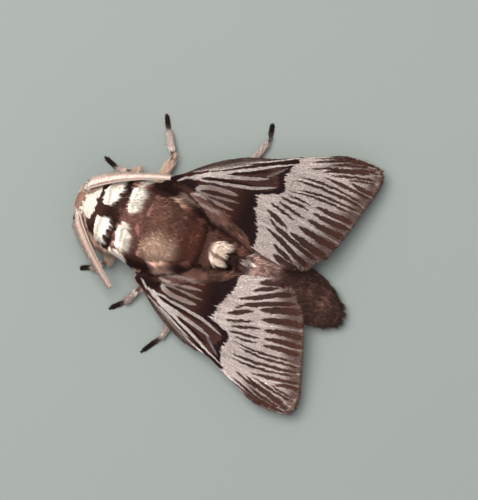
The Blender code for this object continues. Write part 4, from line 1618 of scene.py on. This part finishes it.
def axis_of(node, near):
    """The two ends of a limb solid, the one nearer to a point first."""
    points = points_of(frame["nodes"][node])
    middle = points.mean(axis=0)
    along = (points - middle) @ np.linalg.svd(points - middle, full_matrices=False)[2][0]
    end = 0.05 * np.ptp(along)
    ends = points[along < along.min() + end], points[along > along.max() - end]
    return sorted((Vector(part.mean(axis=0)) for part in ends), key=lambda spot: (spot - near).length)


def tube(name, points, radii):
    """A round closed tube through points in metres, with a radius in metres at each."""
    curve = bpy.data.curves.new(name, "CURVE")
    curve.dimensions = "3D"
    curve.bevel_depth = 1.0
    curve.bevel_resolution = 2
    curve.use_fill_caps = True
    spline = curve.splines.new("POLY")
    spline.points.add(len(points) - 1)
    for spot, point, radius in zip(spline.points, points, radii):
        spot.co = (*point, 1.0)
        spot.radius = radius
    select_only(placed(name, curve))
    bpy.ops.object.convert(target="MESH")
    weld(1e-7, True)
    return bpy.context.object


def limb_points(start, end, swell, steps, joints=1):
    """Points and radii of a limb: swollen in the middle of each joint and pinched between them."""
    t = np.linspace(0, 1, steps + 1)
    phase = np.append((t[:-1] * joints) % 1, 1)
    belly = 0.72 + 0.28 * np.clip(np.sin(math.pi * phase), 0, 1) ** 0.6
    return [start.lerp(end, share) for share in t], np.interp(t, (0, 1), swell) * belly * MM


shin_start, shin_end = axis_of("tibia_front_left", Vector())
print(f"one shin is {(shin_end - shin_start).length / MM:.1f} mm long")

# %% Feet
FOOT_CLEARANCE = 0.16 * MM


def foot_shells(start, end):
    """A foot of two and then three short joints, bent down to the floor, and its two claws."""
    end = Vector((end.x, end.y, FOOT_CLEARANCE + 0.02 * MM))
    bend = start.lerp(end, 0.35)
    bend.z = max(FOOT_CLEARANCE + 0.1 * MM, 0.5 * (start.z + end.z) - 0.1 * MM)
    upper, upper_radii = limb_points(start, bend, (0.26, 0.24), 10, 2)
    lower, lower_radii = limb_points(bend, end, (0.24, 0.19), 15, 3)
    shells = [tube("tarsus", upper + lower[1:], np.append(upper_radii, lower_radii[1:]))]
    ahead = (end - bend).normalized()
    beside = ahead.cross(Vector((0, 0, 1))).normalized()
    for turn in (-1, 1):
        middle = end + (0.2 * ahead + 0.12 * turn * beside) * MM
        tip = end + (0.34 * ahead + 0.2 * turn * beside - Vector((0, 0, 0.1))) * MM
        shells.append(tube("claw", (end, middle, tip), np.array((0.07, 0.05, 0.012)) * MM))
    return shells


print(f"feet stand {FOOT_CLEARANCE / MM:.2f} mm above the floor")

# %% Leg shells
LIMB_RADII = {"femur": (0.3, 0.42), "tibia": (0.34, 0.24), "tarsus": (0.28, 0.2)}
leg_axes = {}


def leg_shells(leg):
    """The shells of one leg from the body outwards: thigh, knee, shin, ankle and foot."""
    last = Vector((MIDLINE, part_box(f"femur_{leg}")[0].y, 1.0 * MM))
    shells = []
    for limb, following, knuckle in (("femur", "tibia", (0.3, 0.27)), ("tibia", "tarsus", (0.2, 0.18))):
        start, last = axis_of(f"{limb}_{leg}", last)
        leg_axes[limb, leg] = start, last
        shells.append(tube(limb, *limb_points(start, last, LIMB_RADII[limb], 12)))
        joint = axis_of(f"{following}_{leg}", last)[0]
        shells.append(tube("knuckle", (last, joint), np.array(knuckle) * MM))
    leg_axes["tarsus", leg] = axis_of(f"tarsus_{leg}", last)
    return shells + foot_shells(*leg_axes["tarsus", leg])


def leg_colour(points, leg):
    """Brown, and nearly black towards the toes, by the share of the way from hip to toe."""
    hip, toe = leg_axes["femur", leg][0], leg_axes["tarsus", leg][1]
    from_hip, from_toe = (np.linalg.norm(points - np.array(end), axis=1) for end in (hip, toe))
    black = smooth(from_hip / (from_hip + from_toe), 0.55, 0.72)
    return painted(paint("5E4338"), points, (paint("241816"), black))


for side_name in SIDES:
    for pair in ("front", "middle", "hind"):
        leg = f"{pair}_{side_name}"
        shell = joined(leg_shells(leg), f"leg_{leg}")
        set_colours(shell, leg_colour(points_of(shell), leg))
        finish_piece(shell, shell_finish, "leg_coat", *[f"{limb}_{leg}" for limb in LIMB_RADII])
print(f"{len(leg_axes)} leg lengths")

# %% Leg hair
LEG_HAIR = {"femur": paint("D6B8A4"), "tibia": paint("C9B4AA"), "tarsus": paint("1C100D")}
LEG_LENGTH = {"femur": 1.7, "tibia": 1.1, "tarsus": 0.55}
LEG_COUNTS = {"femur": 900, "tibia": 900, "tarsus": 650}


def limb_coat(limb, leg, seed, column, width):
    """Hair round one length of a leg, as lay_tufts wants it. Its map is a strip at a column."""
    count = LEG_COUNTS[limb]
    start, end = (np.array(spot) for spot in leg_axes[limb, leg])
    rng = np.random.default_rng(seed)
    t = (np.arange(count) + rng.random(count)) / count
    angle = rng.uniform(0, 2 * math.pi, count)[:, None]
    ahead = unit(end - start)
    beside = unit(np.cross(ahead, (0, 0, 1)))
    normals = np.cos(angle) * beside + np.sin(angle) * np.cross(beside, ahead)
    axis = start + t[:, None] * (end - start)
    if limb == "tarsus":
        axis[:, 2] = np.maximum(axis[:, 2] - 0.12 * MM, 0.2 * MM)
    roots = axis + 0.8 * MM * np.interp(t, (0, 1), LIMB_RADII[limb])[:, None] * normals
    roots[:, 2] = np.maximum(roots[:, 2], 0.05 * MM)
    normals[:, 2] = np.where(roots[:, 2] < 0.15 * MM, 0, normals[:, 2])
    normals = unit(normals)
    ankle = (LEG_HAIR["tarsus"], 0.8 * smooth(t, 0.82, 1.0) * (limb == "tibia"))
    instep = (paint("5A433C"), 0.6 * (1 - smooth(t, 0.0, 0.25)) * (limb == "tarsus"))
    colours = painted(LEG_HAIR[limb], roots, ankle, instep)
    turn = np.arctan2(normals[:, 2], normals[:, 0]) / (2 * math.pi)
    maps = np.column_stack([column + turn * 0.9 * width, inset(t)])
    closing = smooth(t, 0.72, 0.97)
    rise = (20.0 if limb == "tarsus" else 26.0) * (1 - closing)
    lengths = LEG_LENGTH[limb] * (1 - 0.4 * closing)
    return roots, normals, rows(count, *ahead), lengths, rise, 14.0 - 50.0 * closing, colours, maps


strip = 1 / len(leg_axes)
coats = [limb_coat(limb, leg, 71 + i, (i + 0.5) * strip, strip) for i, (limb, leg) in enumerate(leg_axes)]
roots, normals, lies, lengths, rise, fall, colours, maps = (np.concatenate(column) for column in zip(*coats))
leg_hair = lay_tufts(
    "leg_hair", roots, normals, lies, lengths, 0.1, rise, fall, colours, maps, 91,
    locks=0.5, pull=0.2, sink=0.05, shade=0.8, uneven=0.45, stray=0.2,
)
finish_all(leg_hair, fur_finish, "leg_coat", "leg hair")

# %% [markdown]
# ## Feelers
# A male's feeler is a comb: a pale shaft with two rows of fine teeth that lie folded together to
# one side, each tooth fringed with down. The shaft follows the same curve as the solid's.

# %% The feelers' shafts
FEELER_ROUTE = {
    "left": ((1.35, -3.95, 6.45), (3.6, -2.6, 8.2), (6.5, 0.2, 5.7), (9.8, 3.8, 3.6)),
    "right": ((1.75, -4.15, 6.45), (3.0, -2.5, 8.2), (5.3, 0.7, 8.4), (7.1, 6.5, 6.4)),
}
SHAFT_STEPS = 60


def feeler_spots(side_name, t):
    """Points of the shaft's curve in metres, at shares t of it."""
    a, b, c, d = (np.array(from_plan(SIDES[side_name], *spot)) for spot in FEELER_ROUTE[side_name])
    t = t[:, None]
    return a * (1 - t) ** 3 + 3 * b * t * (1 - t) ** 2 + 3 * c * t * t * (1 - t) + d * t**3


def make_shaft(side_name):
    """A feeler's shaft, pale but painted duller as shade. Every second ring is a little thicker, like its
    many short joints.
    """
    share = np.linspace(0, 1, SHAFT_STEPS + 1)
    radii = (0.13 - 0.07 * share) * (1 + 0.08 * (np.arange(SHAFT_STEPS + 1) % 2)) * MM
    shaft = tube(f"feeler_{side_name}", feeler_spots(side_name, share), radii)
    # Painted shade: the pale shaft is coloured a duller brown, as it lies in the comb's shadow.
    set_colours(shaft, painted(paint("A8958A"), shaft.data.vertices))
    finish_piece(shaft, feeler_finish, "antenna", f"antenna_{side_name}")


for side_name in SIDES:
    tip = feeler_spots(side_name, np.ones(1))[0]
    print(f"the {side_name} feeler's tip is {tip[2] / MM:.1f} mm above the floor")

# %% Feeler combs
# The feelers are one colour on the moth: the left is painted darker as shade, the right paler as light.
FEELER_COLOUR_AND_SHADE = {"left": paint("BAA194"), "right": paint("DCC4B8")}
FEELER_COMB = {"left": 1.8, "right": 1.75}
TEETH = 170
DROOPS = (4.0, 20.0)
DOWN = 3
DOWN_LENGTH = 0.34


def comb_teeth(side_name):
    """Roots, upper sides, directions, lengths and shares of the shaft of both rows of teeth."""
    row, number = np.divmod(np.arange(2 * TEETH), TEETH)
    share = 0.05 + 0.94 * (number + 0.5 * row) / TEETH
    before, after = (feeler_spots(side_name, np.minimum(share + step, 1)) for step in (-0.01, 0.01))
    ahead = unit(after - before)
    level = unit(np.cross(ahead, (0, 0, 1)))
    level *= np.sign(level[:, :1] * SIDES[side_name])
    droop = np.radians(np.take(DROOPS, row))[:, None]
    out = level * np.cos(droop) - np.sin(droop) * (0, 0, 1)
    tops = unit(np.cross(out, ahead))
    tops *= np.sign(tops[:, 2:])
    shape = np.minimum(1, 0.25 + share / 0.16) * (1 - 0.55 * np.maximum(0, (share - 0.35) / 0.65) ** 1.5)
    lies = unit(out + 0.45 * ahead)
    return feeler_spots(side_name, share), tops, lies, FEELER_COMB[side_name] * shape, share


def make_comb(side_name, seed):
    """The teeth of one feeler and, along each of them, a few short hairs of down."""
    roots, tops, lies, lengths, share = comb_teeth(side_name)
    way = np.random.default_rng(seed).random((len(roots), DOWN))
    along = 0.8 * MM * (way * lengths[:, None])[..., None] * lies[:, None]
    down_roots = (roots[:, None] + along).reshape(-1, 3)
    down_lies = np.repeat(lies, DOWN, axis=0) + (0, 0.8, 0)
    down_count = len(roots) * DOWN
    is_down = np.arange(len(roots) + down_count) >= len(roots)
    colours = painted(FEELER_COLOUR_AND_SHADE[side_name], is_down) * np.where(is_down, 0.94, 1)[:, None]
    across = np.append(np.full(len(roots), 0.1), 0.15 + 0.8 * way)
    maps = np.column_stack([across, inset(np.append(share, np.repeat(share, DOWN)))])
    comb = lay_tufts(
        f"feeler_comb_{side_name}", np.concatenate([roots, down_roots]),
        np.concatenate([tops, np.repeat(tops, DOWN, axis=0)]), np.concatenate([lies, down_lies]),
        np.append(lengths, np.full(down_count, DOWN_LENGTH)), np.where(is_down, 0.07, 0.16), 2, -4,
        colours, maps, seed, thickness=0.7, sink=0, shade=0.95, uneven=0.05, stray=0.04, vary=0.06,
    )
    finish_all(comb, feeler_finish, "antenna", f"{side_name} comb")


for number, side_name in enumerate(SIDES):
    make_shaft(side_name)
    make_comb(side_name, 95 + number)

# %% [markdown]
# ## Eyes
# A moth's eye is a dark globe of hundreds of tiny lenses. An icosphere gives even points, and a
# cell pattern in the finish raises the lenses.

# %% Faceted eyes
LENS = 0.11 * MM
eye_finish, tree, lens_shader = new_finish("eye_lenses", Roughness=0.3, Specular_IOR_Level=0.25)
place = add_node(tree, "ShaderNodeTexCoord", "Object")
cells = add_node(tree, "ShaderNodeTexVoronoi", "Distance", Vector=place, Scale=1 / LENS)
dark = add_mix(tree, "MIX", cells, (0.028, 0.016, 0.012, 1), (0.006, 0.004, 0.004, 1))
relief = add_node(tree, "ShaderNodeBump", "Normal", Height=cells, Strength=0.5, Distance=0.02 * MM)
relief.node.invert = True
tree.links.new(dark, lens_shader.inputs["Base Color"])
tree.links.new(relief, lens_shader.inputs["Normal"])
for side_name in SIDES:
    low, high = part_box(f"eye_{side_name}")
    radius = (high.z - low.z) / 2
    bpy.ops.object.select_all(action="DESELECT")
    bpy.ops.mesh.primitive_ico_sphere_add(subdivisions=5, radius=radius, location=(low + high) / 2)
    eye = bpy.context.object
    eye.name = f"eye_globe_{side_name}"
    bpy.ops.object.transform_apply(location=True, rotation=True, scale=True)
    finish_piece(eye, eye_finish, "eye", f"eye_{side_name}")
    print(f"{eye.name}: radius {radius / MM:.2f} mm")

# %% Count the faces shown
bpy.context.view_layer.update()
shown = [piece for piece in bpy.context.scene.objects if piece.type == "MESH" and not piece.hide_render]
print(f"{sum(len(piece.data.polygons) for piece in shown)} faces in all")
